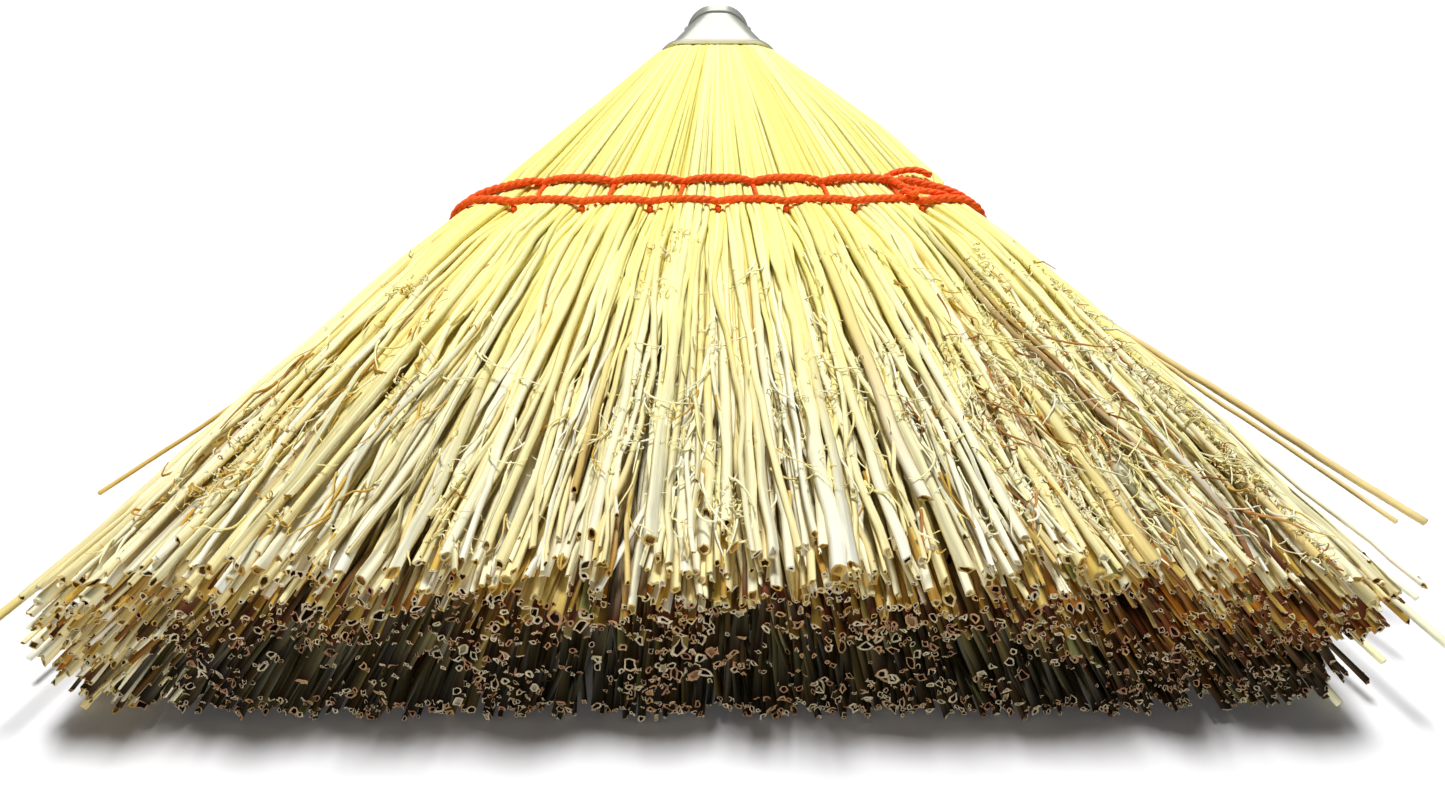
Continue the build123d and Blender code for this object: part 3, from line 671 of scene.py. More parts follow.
def stalk_piece(name, plan, below_rings):
    """Mesh of many stalks: ribbed stems with knots and hollow cut ends."""
    count = len(plan["across"])
    y = ring_places(count, TIPS_Y + plan["shortfall"], below_rings)
    radii = stalk_radii(plan["size"], y)
    x, z = stalk_paths(plan, radii, y)
    paths = np.stack([x, y, z], axis=-1)
    section_x, section_z = stalk_sections(count, STALK_SIDES)
    walls = tube_rings(paths, radii, section_x, section_z)
    along = (MOUTH_Y - y) / (MOUTH_Y - TIPS_Y)
    colours = stalk_colours(plan["across"], plan["upward"], along)
    ending, high, pithy = cut_ends(plan, walls, paths[:, -1][:, None, :])
    points = np.concatenate([walls, ending], axis=1)
    ends = cut_end_colours(plan["upward"], high, pithy)
    colours = np.concatenate([colours, ends], axis=1)
    colours = colours[:, :, None, :] * side_shades(along, section_z, ending.shape[1])
    grain = stalk_grain(plan["size"], points)
    faces = tube_faces(count, points.shape[1], STALK_SIDES)
    stalks = mesh_object(
        name, points.reshape(-1, 3), faces, colours.reshape(-1, 3), grain.reshape(-1, 3)
    )
    return stalks, paths, radii


# Frayed fibres on the upper face


def curled_paths(starts, ways, lengths, curl, steps):
    """Paths that set off along ways and keep bending, each round its own changing axis."""
    count = len(starts)
    way = ways / np.linalg.norm(ways, axis=1, keepdims=True)
    points = [starts]
    bend = dice.normal(0, 1, (count, 3))
    for _ in range(steps):
        bend = bend * 0.75 + dice.normal(0, 0.6, (count, 3))
        way = way + np.cross(bend, way) * curl[:, None]
        way = way / np.linalg.norm(way, axis=1, keepdims=True)
        points.append(points[-1] + way * (lengths / steps)[:, None])
    return np.stack(points, axis=1)


def share_on_face(x, y, margin_share):
    """Share across the corn for x, kept in from its two edges, which are drawn in at the tips."""
    half = outline_at(y)[0]
    drawn_share = below_share(y) ** SPREAD_POWER / half
    left = margin_share - 1 + LEFT_DRAW * drawn_share
    right = 1 - margin_share - RIGHT_DRAW * drawn_share
    return np.clip(x / half, left, right)


def kept_on_face(paths):
    """The same paths, held close to the upper face and short of the tips."""
    y = np.clip(paths[..., 1], TIPS_Y + 1 * MM, LOWER_ROW_Y)
    side = share_on_face(paths[..., 0], y, 0.03)
    x, face = place_in_section(side, 1.0, y)
    z = np.clip(paths[..., 2], face - 1.5 * MM, face + 1.6 * MM)
    return np.stack([x, y, z], axis=-1)


def fibre_piece(name, paths, thickness, colours, sides=4, end_share=0.35):
    """Mesh of tapering fibres along curled paths."""
    count, rings = paths.shape[:2]
    taper = np.linspace(1, end_share, rings)[None, :]
    radii = thickness[:, None] * taper
    section_x, section_z = round_sections(count, sides)
    points = tube_rings(paths, radii, section_x, section_z)
    tints = np.repeat(np.repeat(colours[:, None, None, :], rings, axis=1), sides, axis=2)
    grain = np.zeros_like(points)
    grain[..., 1] = points[..., 1]
    grain[..., 2] = dice.random(count)[:, None, None]
    faces = tube_faces(count, rings, sides)
    return mesh_object(
        name, points.reshape(-1, 3), faces, tints.reshape(-1, 3), grain.reshape(-1, 3)
    )


# Fibres fray from the stalks below this place
FRAY_TOP_Y = LOWER_ROW_Y - 18 * MM

# The largest frayed patches: place across and in from the cut, in millimetres

FRAYED_PLACES_MM = (
    (16.0, 45.0),
    (88.0, 45.0),
    (70.0, 62.0),
    (-78.0, 35.0),
    (-12.0, 40.0),
    (44.0, 38.0),
)


def fray_starts(paths, radii, count, patches, spread):
    """Points on the upper face's stalks: some at random, most gathered in patches."""
    candidates = paths[:, NECK_RINGS:-1].reshape(-1, 3)
    lifts = radii[:, NECK_RINGS:-1].reshape(-1)
    low = candidates[:, 1] < FRAY_TOP_Y
    candidates = candidates[low] + np.array([0, 0, 1]) * lifts[low][:, None] * 0.8
    weight = below_share(candidates[:, 1]) ** 1.4
    weight = weight * (1 + 1.5 * (candidates[:, 0] > 0.4 * TIP_HALF))
    weight = weight / weight.sum()
    centres = candidates[dice.choice(len(candidates), patches, p=weight)]
    places = np.array(FRAYED_PLACES_MM) * MM
    named = len(places)
    centres[:named, 0] = places[:, 0]
    centres[:named, 1] = TIPS_Y + places[:, 1]
    weights = np.where(np.arange(patches) < named, 4.0, 1.0)
    own = dice.choice(patches, count, p=weights / weights.sum())
    spread = spread * np.where(own < named, 2.2, 1.0)[:, None]
    jitter = dice.normal(0, 1, (count, 3)) * spread * np.array([1, 1.8, 0.1])
    gathered = centres[own] + jitter
    single = dice.random(count) < 0.12
    chosen = candidates[dice.choice(len(candidates), count, p=weight)]
    starts = np.where(single[:, None], chosen, gathered)
    y = np.clip(starts[:, 1], TIPS_Y + 4 * MM, FLARE_Y)
    # Fibres start just on the face, wherever their patch put them
    side = share_on_face(starts[:, 0], y, 0.07)
    x, top = place_in_section(side, 1.0, y)
    return np.stack([x, y, top + dice.uniform(-0.9, 0.5, count) * MM], axis=1)


def fray_colours(starts):
    """Cream in the middle, red-brown towards the right and tan at the left."""
    count = len(starts)
    colours = pick(FACE_COLOURS, count)
    share = starts[:, 0] / TIP_HALF
    redder = dice.random(count) < np.clip(1.3 * share - 0.35, 0, 0.2)
    colours[redder] = pick(RED_COLOURS, count)[redder]
    tanned = dice.random(count) < np.clip(-1.3 * share - 0.3, 0.08, 0.5)
    colours[tanned] = pick(GOLD_COLOURS, count)[tanned]
    return colours


def frayed_curls(paths, radii):
    """Fine curly fibres that fray from the stalks, gathered in patches."""
    count = 2300
    starts = fray_starts(paths, radii, count, patches=80, spread=1.8 * MM)
    ways = dice.normal(0, 1, (count, 3)) * np.array([0.5, 0.6, 0.25]) + np.array([0, -1.0, 0.1])
    lengths = np.clip(1.2 + dice.exponential(1.8, count), 0, 6) * MM
    curl = dice.uniform(0.3, 0.9, count)
    curls = kept_on_face(curled_paths(starts, ways, lengths, curl, 7))
    thickness = dice.uniform(0.1, 0.24, count) * MM
    return fibre_piece("frayed_curls", curls, thickness, fray_colours(starts))


def side_twigs(paths, radii):
    """Fine side branches of the seed heads, lying nearly along the stalks."""
    count = 700
    starts = fray_starts(paths, radii, count, patches=60, spread=6 * MM)
    room = starts[:, 1] - TIPS_Y - 4 * MM
    lengths = np.clip(dice.uniform(4, 20, count) * MM, 0, np.maximum(room, 3 * MM))
    # Twigs set off as the fan spreads, which the next 10 mm of its outline give
    ahead = 10 * MM
    half_now = outline_at(starts[:, 1])[0]
    half_next = outline_at(starts[:, 1] - ahead)[0]
    fan = starts[:, 0] * (half_next / half_now - 1) / ahead
    ways = np.stack([fan, -np.ones(count), np.full(count, 0.02)], axis=1)
    ways = ways + dice.normal(0, 1, (count, 3)) * np.array([0.11, 0.05, 0.03])
    twigs = kept_on_face(curled_paths(starts, ways, lengths, dice.uniform(0.03, 0.14, count), 12))
    thickness = dice.uniform(0.16, 0.32, count) * MM
    return fibre_piece("side_twigs", twigs, thickness, fray_colours(starts), sides=5)


# Stray stalks that stand off the sides: place of the tip across, in from the cut and up,
# and radius, in millimetres

STRAYS_MM = (
    (-114.5, 1.0, 19.0, 0.8),
    (-115.0, 8.0, 5.0, 0.65),
    (-108.5, 12.0, 9.0, 0.6),
    (-104.0, 1.0, 1.4, 0.8),
    (-106.5, 29.0, 23.0, 0.45),
    (-103.0, 16.0, 21.0, 0.55),
    (114.5, 1.0, 15.0, 0.8),
    (120.5, 24.0, 20.0, 0.8),
    (117.0, 14.0, 12.0, 0.6),
    (112.0, 20.0, 24.0, 0.5),
    (108.0, 4.0, 8.0, 0.75),
    (101.5, 0.6, 1.6, 0.8),
    (104.0, 8.0, 24.0, 0.6),
)


def stray_stalks():
    """Single stalks along the two sides, which bend away from the rest."""
    tip_x, from_cut, tip_z, radius = (np.array(STRAYS_MM) * MM).T
    count = len(tip_x)
    side = np.sign(tip_x)
    root_z = (ROW_TOP + ROW_UNDERSIDE) / 2 + 0.25 * (tip_z - 16 * MM)
    row_side = LOWER_HALF - 1.5 * MM
    root = np.stack([side * row_side, np.full(count, LOWER_ROW_Y), root_z], axis=1)
    tip = np.stack([tip_x, TIPS_Y + from_cut, tip_z], axis=1)
    bend = root + (tip - root) * 0.62
    bend[:, 0] -= side * 2.5 * MM
    bend[:, 2] += 2.5 * MM
    rings = 26
    share = np.linspace(0, 1, rings)[None, :, None]
    start, middle, end = root[:, None], bend[:, None], tip[:, None]
    paths = start * (1 - share) ** 2 + middle * 2 * share * (1 - share) + end * share**2
    wobble = np.cumsum(dice.normal(0, 0.12 * MM, (count, rings, 3)), axis=1)
    paths = paths + wobble * np.sin(share * math.pi)
    colours = pick(FACE_COLOURS, count)
    golden = dice.random(count) < 0.4
    colours[golden] = pick(TAN_COLOURS, count)[golden]
    return fibre_piece("stray_stalks", paths, radius, colours, sides=STALK_SIDES, end_share=0.85)


# Twine: three twisted plies along a path

TWINE_PLIES = 3
PLY_RADIUS = 0.6 * MM
PLY_OFFSET = 0.46 * MM
PLY_PITCH = 6.0 * MM
PLY_STEP = 0.7 * MM
PLY_SIDES = 6


def even_steps(path):
    """The same path with points at even steps along it, and how far along each one is."""
    lengths = np.linalg.norm(np.diff(path, axis=0), axis=1)
    travelled = np.concatenate([[0], np.cumsum(lengths)])
    count = max(int(travelled[-1] / PLY_STEP), 4)
    places = np.linspace(0, travelled[-1], count)
    columns = [np.interp(places, travelled, column) for column in path.T]
    return np.stack(columns, axis=1), places


def twisted_tubes(path, level, size_share):
    """Points and faces of the plies twisted round a path, of twine at a share of its size."""
    path, places = even_steps(path)
    sides, ups = path_frames(path[None], level)
    turn = 2 * math.pi * places / PLY_PITCH
    centres = []
    for ply in range(TWINE_PLIES):
        angle = turn + 2 * math.pi * ply / TWINE_PLIES
        shift = np.cos(angle)[:, None] * sides[0] + np.sin(angle)[:, None] * ups[0]
        centres.append(path + shift * PLY_OFFSET * size_share)
    centres = np.stack(centres)
    radii = np.full(centres.shape[:2], PLY_RADIUS * size_share)
    section_x, section_y = round_sections(TWINE_PLIES, PLY_SIDES)
    points = tube_rings(centres, radii, section_x, section_y, level)
    return points.reshape(-1, 3), tube_faces(TWINE_PLIES, centres.shape[1], PLY_SIDES)


def twine_piece(name, paths, level, size_share):
    """Object made of twisted twine along one or more paths."""
    points = []
    groups = [[], [], []]
    base = 0
    for path in paths:
        more, faces = twisted_tubes(path, level, size_share)
        points.append(more)
        for group, part in zip(groups, faces):
            group.append(part + base)
        base += len(more)
    groups = [np.concatenate(group) for group in groups]
    return mesh_object(name, np.concatenate(points), groups)


# Where the upper row bends down to the lower one, in from each side, and how far a row
# lies off the corn
ROW_BEND = 17 * MM
ROW_PROUD = 0.35 * MM


def row_loop(row_y, reach, half, count, side_pull, dip_depth):
    """Centre line of a row of twine round the corn, scalloped on both faces.

    At the two sides the row is pulled towards the tips by side_pull.
    """
    steps = 260
    fine = np.linspace(-1, 1, steps)
    # Points lie closer together towards the sides
    flat = np.sin(fine * math.pi / 2) * 0.35 + fine * 0.65
    side_steps = 40
    side = np.linspace(1, -1, side_steps)
    across = np.concatenate([flat, np.ones(side_steps), flat[::-1], -np.ones(side_steps)])
    upward = np.concatenate([np.ones(steps), side, -np.ones(steps), side[::-1]])
    pull = rising(np.abs(across) * half, half - ROW_BEND, ROW_BEND)
    pull = pull * pull * (3 - 2 * pull)
    y = row_y - side_pull * pull
    x, z = place_in_section(across, upward, y)
    valley = np.clip(1 - np.abs(((x + reach) / (2 * reach / count)) % 1 - 0.5) * 2, 0, 1)
    dip = np.where(np.abs(x) < reach, valley**3, 0)
    loop = np.stack([x, y, z], axis=1)
    loop = np.concatenate([loop, loop[:1]])
    dip = np.concatenate([dip, dip[:1]])
    upright = np.concatenate([upward, upward[:1]])
    ways = np.gradient(loop, axis=0)
    outward = np.cross(np.array([0, 1.0, 0]), ways)
    outward /= np.linalg.norm(outward, axis=1, keepdims=True) + 1e-12
    centre = np.array([0, 0, (ROW_TOP + ROW_UNDERSIDE) / 2])
    facing = np.sign(np.sum((loop - centre) * outward * np.array([1, 0, 1]), axis=1))
    outward = outward * facing[:, None]
    on_face = np.abs(upright) > 0.99
    height = ROW_PROUD - np.where(on_face, dip_depth * dip, 0)
    return loop + outward * height[:, None]


# Materials


def add_node(material, kind, inputs=None, **settings):
    """Adds a node; inputs maps a socket to a value or to another node's output socket."""
    tree = material.node_tree
    node = tree.nodes.new(kind)
    for name, value in settings.items():
        setattr(node, name, value)
    for name, value in (inputs or {}).items():
        socket = node.inputs[name]
        if isinstance(value, bpy.types.NodeSocket):
            tree.links.new(value, socket)
        else:
            socket.default_value = value
    return node


def new_material(name):
    """Material without any nodes."""
    material = bpy.data.materials.new(name)
    material.use_nodes = True
    material.node_tree.nodes.clear()
    return material


# Sizes of the materials' patterns. Ribs, pith cells, twine fibres and the tooth of the paper
# are finer on the real ones, and are drawn as coarse as they need to be to show.

RIB_SPACING = MM / 3.6
RIB_LENGTH = 25 * RIB_SPACING
BLOTCH_WIDTH = 4 * RIB_SPACING
PITH_CELL = 0.8 * MM
TWINE_FIBRE = 0.4 * MM
TIN_MOTTLE = 1.1 * MM
ZINC_MOTTLE = 0.7 * MM
PAPER_TOOTH = 2.5 * MM


def broomcorn():
    """Dried broomcorn stalk, cut and sun-cured: dull straw, finely ribbed along its length."""
    material = new_material("dried_broomcorn")
    colour = add_node(material, "ShaderNodeAttribute", attribute_name="fibre_colour")
    surface = add_node(material, "ShaderNodeAttribute", attribute_name="grain")
    stretch = add_node(
        material,
        "ShaderNodeMapping",
        {"Vector": surface.outputs["Vector"], "Scale": (1, RIB_SPACING / RIB_LENGTH, 1)},
    )
    ribs = add_node(
        material,
        "ShaderNodeTexNoise",
        {
            "Vector": stretch.outputs[0],
            "Scale": 1 / RIB_SPACING,
            "Detail": 3.0,
            "Roughness": 0.65,
        },
    )
    blotches = add_node(
        material,
        "ShaderNodeTexNoise",
        {"Vector": stretch.outputs[0], "Scale": 1 / BLOTCH_WIDTH, "Detail": 2.0},
    )
    # Weathering grows from the binding to the tips and deepens the ribs
    places = add_node(material, "ShaderNodeSeparateXYZ", {"Vector": surface.outputs["Vector"]})
    depth = add_node(
        material,
        "ShaderNodeMapRange",
        {
            "Value": places.outputs["Y"],
            "From Min": LOWER_ROW_Y - 25 * MM,
            "From Max": TIPS_Y + 20 * MM,
            "To Min": 0.98,
            "To Max": 0.85,
        },
    )
    rib_shade = add_node(
        material,
        "ShaderNodeMapRange",
        {
            "Value": ribs.outputs["Fac"],
            "From Min": 0.35,
            "From Max": 0.6,
            "To Min": depth.outputs[0],
            "To Max": 1.0,
        },
    )
    blotch_shade = add_node(
        material,
        "ShaderNodeMapRange",
        {
            "Value": blotches.outputs["Fac"],
            "From Min": 0.3,
            "From Max": 0.7,
            "To Min": 0.95,
            "To Max": 1.0,
        },
    )
    shade = add_node(
        material,
        "ShaderNodeMath",
        {0: rib_shade.outputs[0], 1: blotch_shade.outputs[0]},
        operation="MULTIPLY",
    )
    tint = add_node(
        material,
        "ShaderNodeVectorMath",
        {0: colour.outputs["Color"], "Scale": shade.outputs[0]},
        operation="SCALE",
    )
    bump = add_node(
        material,
        "ShaderNodeBump",
        {"Height": ribs.outputs["Fac"], "Strength": 0.35, "Distance": 0.1 * MM},
    )
    shader = add_node(
        material,
        "ShaderNodeBsdfPrincipled",
        {
            "Base Color": tint.outputs[0],
            "Roughness": 0.7,
            "IOR": 1.5,
            "Specular IOR Level": 0.12,
            "Normal": bump.outputs[0],
        },
    )
    add_node(material, "ShaderNodeOutputMaterial", {"Surface": shader.outputs[0]})
    return material


def stalk_pith():
    """Spongy pith of cut broomcorn butts: pale and dull, slightly mottled by its cells."""
    material = new_material("broomcorn_pith")
    place = add_node(material, "ShaderNodeTexCoord")
    cells = add_node(
        material,
        "ShaderNodeTexNoise",
        {"Vector": place.outputs["Object"], "Scale": 1 / PITH_CELL, "Detail": 3.0},
    )
    ramp = add_node(material, "ShaderNodeValToRGB", {"Fac": cells.outputs["Fac"]})
    ramp.color_ramp.elements[0].position = 0.3
    ramp.color_ramp.elements[0].color = linear_rgba("#C9B47A")
    ramp.color_ramp.elements[1].position = 0.7
    ramp.color_ramp.elements[1].color = linear_rgba("#E6DCAE")
    shader = add_node(
        material,
        "ShaderNodeBsdfPrincipled",
        {"Base Color": ramp.outputs[0], "Roughness": 0.85, "IOR": 1.5},
    )
    add_node(material, "ShaderNodeOutputMaterial", {"Surface": shader.outputs[0]})
    return material


def twisted_twine():
    """Dyed polypropylene sewing twine, twisted: vivid orange-red with a soft satin sheen."""
    material = new_material("red_sewing_twine")
    place = add_node(material, "ShaderNodeTexCoord")
    fibres = add_node(
        material,
        "ShaderNodeTexNoise",
        {"Vector": place.outputs["Object"], "Scale": 1 / TWINE_FIBRE, "Detail": 4.0},
    )
    ramp = add_node(material, "ShaderNodeValToRGB", {"Fac": fibres.outputs["Fac"]})
    ramp.color_ramp.elements[0].position = 0.3
    ramp.color_ramp.elements[0].color = linear_rgba("#FF4A0A")
    ramp.color_ramp.elements[1].position = 0.7
    ramp.color_ramp.elements[1].color = linear_rgba("#FF7624")
    bump = add_node(
        material,
        "ShaderNodeBump",
        {"Height": fibres.outputs["Fac"], "Strength": 0.4, "Distance": 0.1 * MM},
    )
    shader = add_node(
        material,
        "ShaderNodeBsdfPrincipled",
        {
            "Base Color": ramp.outputs[0],
            "Roughness": 0.7,
            "IOR": 1.5,
            "Specular IOR Level": 0.3,
            "Normal": bump.outputs[0],
        },
    )
    add_node(material, "ShaderNodeOutputMaterial", {"Surface": shader.outputs[0]})
    return material


def tin_plate():
    """Tin-plated sheet steel, drawn and handled: soft grey mirror, unevenly dulled by hands."""
    material = new_material("tin_plate")
    place = add_node(material, "ShaderNodeTexCoord")
    handling = add_node(
        material,
        "ShaderNodeTexNoise",
        {"Vector": place.outputs["Object"], "Scale": 1 / TIN_MOTTLE, "Detail": 5.0},
    )
    rough = add_node(
        material,
        "ShaderNodeMapRange",
        {
            "Value": handling.outputs["Fac"],
            "From Min": 0.3,
            "From Max": 0.7,
            "To Min": 0.29,
            "To Max": 0.37,
        },
    )
    shader = add_node(
        material,
        "ShaderNodeBsdfPrincipled",
        {
            "Base Color": linear_rgba("#B4B4AE"),
            "Metallic": 1.0,
            "Roughness": rough.outputs[0],
            "Specular Tint": linear_rgba("#A8AAA4"),
        },
    )
    add_node(material, "ShaderNodeOutputMaterial", {"Surface": shader.outputs[0]})
    return material


def zinc_wire():
    """Zinc-plated drawn steel wire: bright and smooth, with a faint mottle."""
    material = new_material("zinc_plated_wire")
    place = add_node(material, "ShaderNodeTexCoord")
    mottle = add_node(
        material,
        "ShaderNodeTexNoise",
        {"Vector": place.outputs["Object"], "Scale": 1 / ZINC_MOTTLE, "Detail": 3.0},
    )
    rough = add_node(
        material,
        "ShaderNodeMapRange",
        {
            "Value": mottle.outputs["Fac"],
            "From Min": 0.3,
            "From Max": 0.7,
            "To Min": 0.16,
            "To Max": 0.3,
        },
    )
    shader = add_node(
        material,
        "ShaderNodeBsdfPrincipled",
        {"Base Color": linear_rgba("#C8C8C6"), "Metallic": 1.0, "Roughness": rough.outputs[0]},
    )
    add_node(material, "ShaderNodeOutputMaterial", {"Surface": shader.outputs[0]})
    return material


def give_material(piece, material):
    """Makes a material the only one of a piece."""
    piece.data.materials.clear()
    piece.data.materials.append(material)


# Build the corn

corn = broomcorn()
packed_across, packed_upward = stalk_seeds()
extra_across, extra_upward = extra_seeds(
    left_count=60, right_count=420, low_count=170, inner_count=1300
)
seed_across = np.concatenate([packed_across, extra_across])
seed_upward = np.concatenate([packed_upward, extra_upward])
plan = plan_stalks(seed_across, seed_upward)
is_face = seed_upward > FACE_SHARE
is_top = (seed_upward > HURL_SHARE) & ~is_face
is_bottom = seed_upward < -HURL_SHARE
is_middle = ~is_top & ~is_bottom & ~is_face
is_left = seed_across < -SIDE_SHARE
is_right = seed_across > SIDE_SHARE
# Each layer's name, the node that it stands for, its stalks, and their rings below the rows;
# the face comes last, because the fibres start from its stalks
layers = (
    ("top_hurl_inside", "top_hurl", is_top, 13),
    ("bottom_hurl_stalks", "bottom_hurl", is_bottom, 12),
    ("inner_corn_stalks", "inner_corn", is_middle & ~is_left & ~is_right, 12),
    ("left_side_stalks", "left_side_corn", is_middle & is_left, 14),
    ("right_side_stalks", "right_side_corn", is_middle & is_right, 14),
    ("top_hurl_face", "top_hurl", is_face, 24),
)
for name, node, chosen, below_rings in layers:
    own_plan = {column: values[chosen] for column, values in plan.items()}
    stalks, paths, radii = stalk_piece(name, own_plan, below_rings)
    give_material(stalks, corn)
    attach(stalks, "broom")
    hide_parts(node)

for fibres in (frayed_curls(paths, radii), side_twigs(paths, radii), stray_stalks()):
    give_material(fibres, corn)
    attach(fibres, "broom")

# Stitching

twine = twisted_twine()
lower_loop = row_loop(
    LOWER_ROW_Y, LOWER_REACH, LOWER_HALF, LOWER_STITCHES, side_pull=0.0, dip_depth=0.8 * MM
)
upper_loop = row_loop(
    UPPER_ROW_Y,
    UPPER_REACH,
    UPPER_HALF,
    UPPER_STITCHES,
    side_pull=ROW_PITCH - 2.0 * MM,
    dip_depth=1.3 * MM,
)


def stitch_xs(reach, count):
    """Places across at which count stitches go through the corn."""
    return [reach * ((2 * index + 1) / count - 1) for index in range(count)]


def upright_paths(row_y, reach, count):
    """Stitches down through the corn: each bends out of its row's dip, then goes upright."""
    steps = 24
    share = np.linspace(-1, 1, steps)
    z = (ROW_TOP + ROW_UNDERSIDE) / 2 - share * ((ROW_TOP - ROW_UNDERSIDE) / 2 - 1.3 * MM)
    bend = 1.1 * MM * np.abs(share) ** 6
    paths = []
    for x in stitch_xs(reach, count):
        paths.append(np.stack([np.full(steps, x), row_y - bend, z], axis=1))
    return paths


def link_paths():
    """Short lengths on the upper face, from the upper row's dips to the lower row."""
    paths = []
    for x in stitch_xs(UPPER_REACH, UPPER_STITCHES):
        share = np.linspace(0, 1, 14)
        y = UPPER_ROW_Y - 0.5 * MM - share * (ROW_PITCH - 1 * MM)
        rise = np.sin(math.pi * share) * 0.5 * MM
        z = ROW_TOP - 1.5 * MM + rise + 0.7 * MM * share
        paths.append(np.stack([x + share * MM * np.sign(x), y, z], axis=1))
    return paths


def smooth_path(corners):
    """Rounded path through corner points given in millimetres."""
    corners = np.array(corners) * MM
    for _ in range(3):
        near = corners[:-1] * 0.75 + corners[1:] * 0.25
        far = corners[:-1] * 0.25 + corners[1:] * 0.75
        middle = np.stack([near, far], axis=1).reshape(-1, 3)
        corners = np.concatenate([corners[:1], middle, corners[-1:]])
    return corners


def tail_paths():
    """Doubled end of the twine at the right, knotted on the lower row and trimmed."""
    row_top = ROW_TOP / MM
    low = LOWER_ROW_Y / MM
    high = UPPER_ROW_Y / MM
    laid = [
        (40.5, high - 0.2, row_top - 0.8),
        (43.5, high + 1.6, row_top + 0.6),
        (48.0, high + 2.2, row_top + 1.4),
        (51.0, high + 1.8, row_top + 1.3),
        (53.5, high + 0.6, row_top + 0.4),
    ]
    crossing = [
        (42.5, high - 0.6, row_top + 0.6),
        (44.5, high - 4.5, row_top + 0.8),
        (46.5, low + 2.6, row_top + 1.4),
        (50.0, low + 1.4, row_top + 1.6),
        (55.5, low + 1.9, row_top + 0.6),
        (59.5, low + 1.8, row_top - 2.6),
    ]
    knot = [
        (45.0, low + 3.0, row_top + 0.4),
        (45.4, low + 0.6, row_top + 2.2),
        (47.4, low - 1.2, row_top + 1.6),
        (48.4, low + 0.8, row_top + 2.4),
        (47.0, low + 2.6, row_top + 1.2),
    ]
    return [smooth_path(points) for points in (laid, crossing, knot)]


# Each length of twine: name, node that it stands for, paths, level direction, share of size
stitching = (
    ("lower_row", "lower_row_twine", [lower_loop], ALONG_Y, 1.0),
    ("upper_row", "upper_row_twine", [upper_loop], ALONG_Y, 1.0),
    (
        "lower_stitches",
        "lower_row_stitches",
        upright_paths(LOWER_ROW_Y, LOWER_REACH, LOWER_STITCHES),
        ALONG_Y,
        0.8,
    ),
    (
        "upper_stitches",
        "upper_row_stitches",
        upright_paths(UPPER_ROW_Y, UPPER_REACH, UPPER_STITCHES),
        ALONG_Y,
        0.8,
    ),
    ("short_links", "row_links", link_paths(), UP_Z, 0.52),
    ("tied_tail", "tie_off_tail", tail_paths(), UP_Z, 0.8),
)
for name, node, paths, level, size_share in stitching:
    line = twine_piece(name, paths, level, size_share)
    give_material(line, twine)
    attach(line, "broom")
    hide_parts(node)

# Materials of the pieces that stay as constructed

tin = tin_plate()
wire = zinc_wire()
kept_finishes = {
    "metal_sleeve": tin,
    "end_cap": tin,
    "sleeve_tacks": wire,
    "ring_eye": wire,
    "hang_ring": wire,
    "binding_wire": wire,
    "stalk_butts": stalk_pith(),
}
for node, finish in kept_finishes.items():
    give_material(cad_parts[node], finish)

# Floor, light and camera


def white_stage():
    """White paper floor: shows the object's shadow and is white where nothing shades it."""
    mesh = bpy.data.meshes.new("floor")
    reach = 6.0
    corners = [(-reach, -reach, 0), (reach, -reach, 0), (reach, reach, 0), (-reach, reach, 0)]
    mesh.from_pydata(corners, [], [(0, 1, 2, 3)])
    floor = bpy.data.objects.new("floor", mesh)
    bpy.context.scene.collection.objects.link(floor)
    material = new_material("white_paper")
    place = add_node(material, "ShaderNodeTexCoord")
    tooth = add_node(
        material,
        "ShaderNodeTexNoise",
        {"Vector": place.outputs["Object"], "Scale": 1 / PAPER_TOOTH, "Detail": 3.0},
    )
    bump = add_node(
        material,
        "ShaderNodeBump",
        {"Height": tooth.outputs["Fac"], "Strength": 0.1, "Distance": 0.2 * MM},
    )
    rays = add_node(material, "ShaderNodeLightPath")
    glossy = add_node(
        material,
        "ShaderNodeMath",
        {0: rays.outputs["Is Camera Ray"], 1: rays.outputs["Is Glossy Ray"]},
        operation="MAXIMUM",
    )
    seen = add_node(
        material,
        "ShaderNodeMath",
        {0: glossy.outputs[0], 1: rays.outputs["Is Transmission Ray"]},
        operation="MAXIMUM",
    )
    # Grey to the light that it sends back under the stalks, white to the camera
    shade = add_node(
        material,
        "ShaderNodeMix",
        {
            "Factor": rays.outputs["Is Camera Ray"],
            "A": linear_rgba("#A8A8AA"),
            "B": linear_rgba("#F4F4F6"),
        },
        data_type="RGBA",
    )
    paper = add_node(
        material,
        "ShaderNodeBsdfDiffuse",
        {"Color": shade.outputs["Result"], "Normal": bump.outputs[0]},
    )
    # The paper goes on white where the lamps no longer reach it
    distance = add_node(
        material, "ShaderNodeVectorMath", {0: place.outputs["Object"]}, operation="LENGTH"
    )
    whiter = add_node(
        material,
        "ShaderNodeMapRange",
        {"Value": distance.outputs["Value"], "From Min": 0.3, "From Max": 1.0},
    )
    lift = add_node(
        material,
        "ShaderNodeMath",
        {0: seen.outputs[0], 1: whiter.outputs[0]},
        operation="MULTIPLY",
    )
    glow = add_node(
        material, "ShaderNodeEmission", {"Color": (1, 1, 1, 1), "Strength": lift.outputs[0]}
    )
    both = add_node(material, "ShaderNodeAddShader", {0: paper.outputs[0], 1: glow.outputs[0]})
    add_node(material, "ShaderNodeOutputMaterial", {"Surface": both.outputs[0]})
    give_material(floor, material)


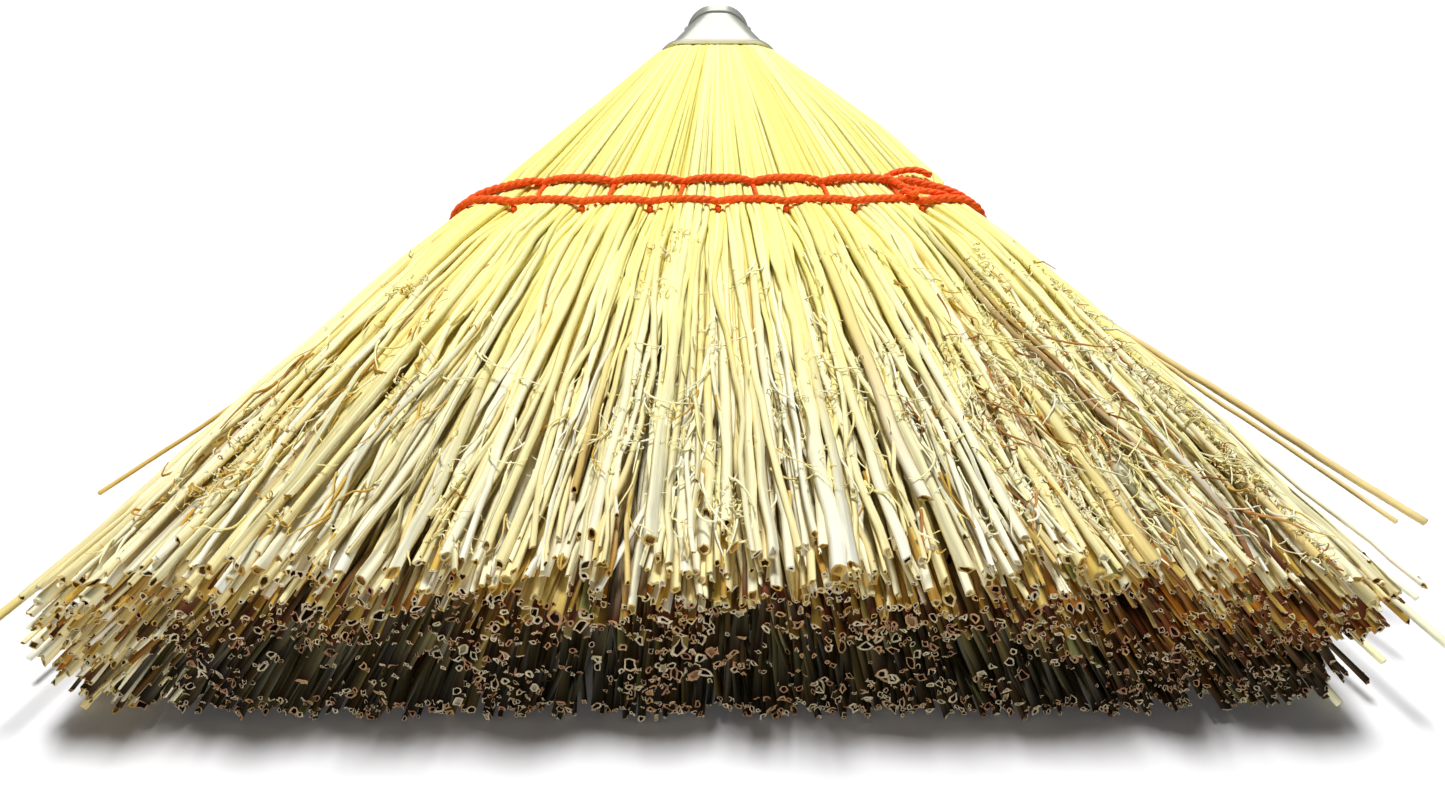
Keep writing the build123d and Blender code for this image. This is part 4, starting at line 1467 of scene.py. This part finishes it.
def studio_world():
    """White to the camera and in reflections, and an even dim light on everything else."""
    world = bpy.data.worlds.new("studio")
    bpy.context.scene.world = world
    world.use_nodes = True
    world.node_tree.nodes.clear()
    rays = add_node(world, "ShaderNodeLightPath")
    glossy = add_node(
        world,
        "ShaderNodeMath",
        {0: rays.outputs["Is Camera Ray"], 1: rays.outputs["Is Glossy Ray"]},
        operation="MAXIMUM",
    )
    seen = add_node(
        world,
        "ShaderNodeMath",
        {0: glossy.outputs[0], 1: rays.outputs["Is Transmission Ray"]},
        operation="MAXIMUM",
    )
    strength = add_node(
        world, "ShaderNodeMapRange", {"Value": seen.outputs[0], "To Min": 0.05, "To Max": 1.0}
    )
    background = add_node(
        world, "ShaderNodeBackground", {"Color": (1, 1, 1, 1), "Strength": strength.outputs[0]}
    )
    add_node(world, "ShaderNodeOutputWorld", {"Surface": background.outputs[0]})


def soft_box(name, place, target, size, power):
    """Square studio lamp aimed at a point."""
    lamp = bpy.data.lights.new(name, "AREA")
    lamp.shape = "SQUARE"
    lamp.size = size
    lamp.energy = power
    holder = bpy.data.objects.new(name, lamp)
    holder.location = place
    holder.rotation_euler = (Vector(target) - Vector(place)).to_track_quat("-Z", "Y").to_euler()
    bpy.context.scene.collection.objects.link(holder)


def photo_camera():
    """Camera where the photograph was taken: low and close in front of the cut tips."""
    lens_pixels = 1086.0
    picture_width = 1445.0
    camera_data = bpy.data.cameras.new("camera")
    camera_data.sensor_width = 36.0
    camera_data.lens = lens_pixels / picture_width * camera_data.sensor_width
    camera_data.clip_start = 5 * MM
    camera = bpy.data.objects.new("camera", camera_data)
    before_tips = 110.0 * MM
    height = 148.9 * MM
    pitch_down = math.radians(37.5)
    camera.location = (0, TIPS_Y - before_tips, height)
    turned_right = math.radians(0.25)
    camera.rotation_euler = (math.pi / 2 - pitch_down, 0, -turned_right)
    bpy.context.scene.collection.objects.link(camera)
    bpy.context.scene.camera = camera


white_stage()
studio_world()
soft_box("key", (0.05, 0.55, 2.75), target=(0, -0.05, 0), size=0.6, power=83)
soft_box("overhead", (0, 0.9, 2.4), target=(0, -0.05, 0), size=1.2, power=12)
soft_box("fill", (-0.3, -1.8, 0.1), target=(0, -0.05, 0.01), size=0.2, power=17)
soft_box("back", (0, 1.5, 0.25), target=(0, 0.1, 0.02), size=0.3, power=3.2)
photo_camera()
bpy.context.scene.view_settings.view_transform = "Standard"
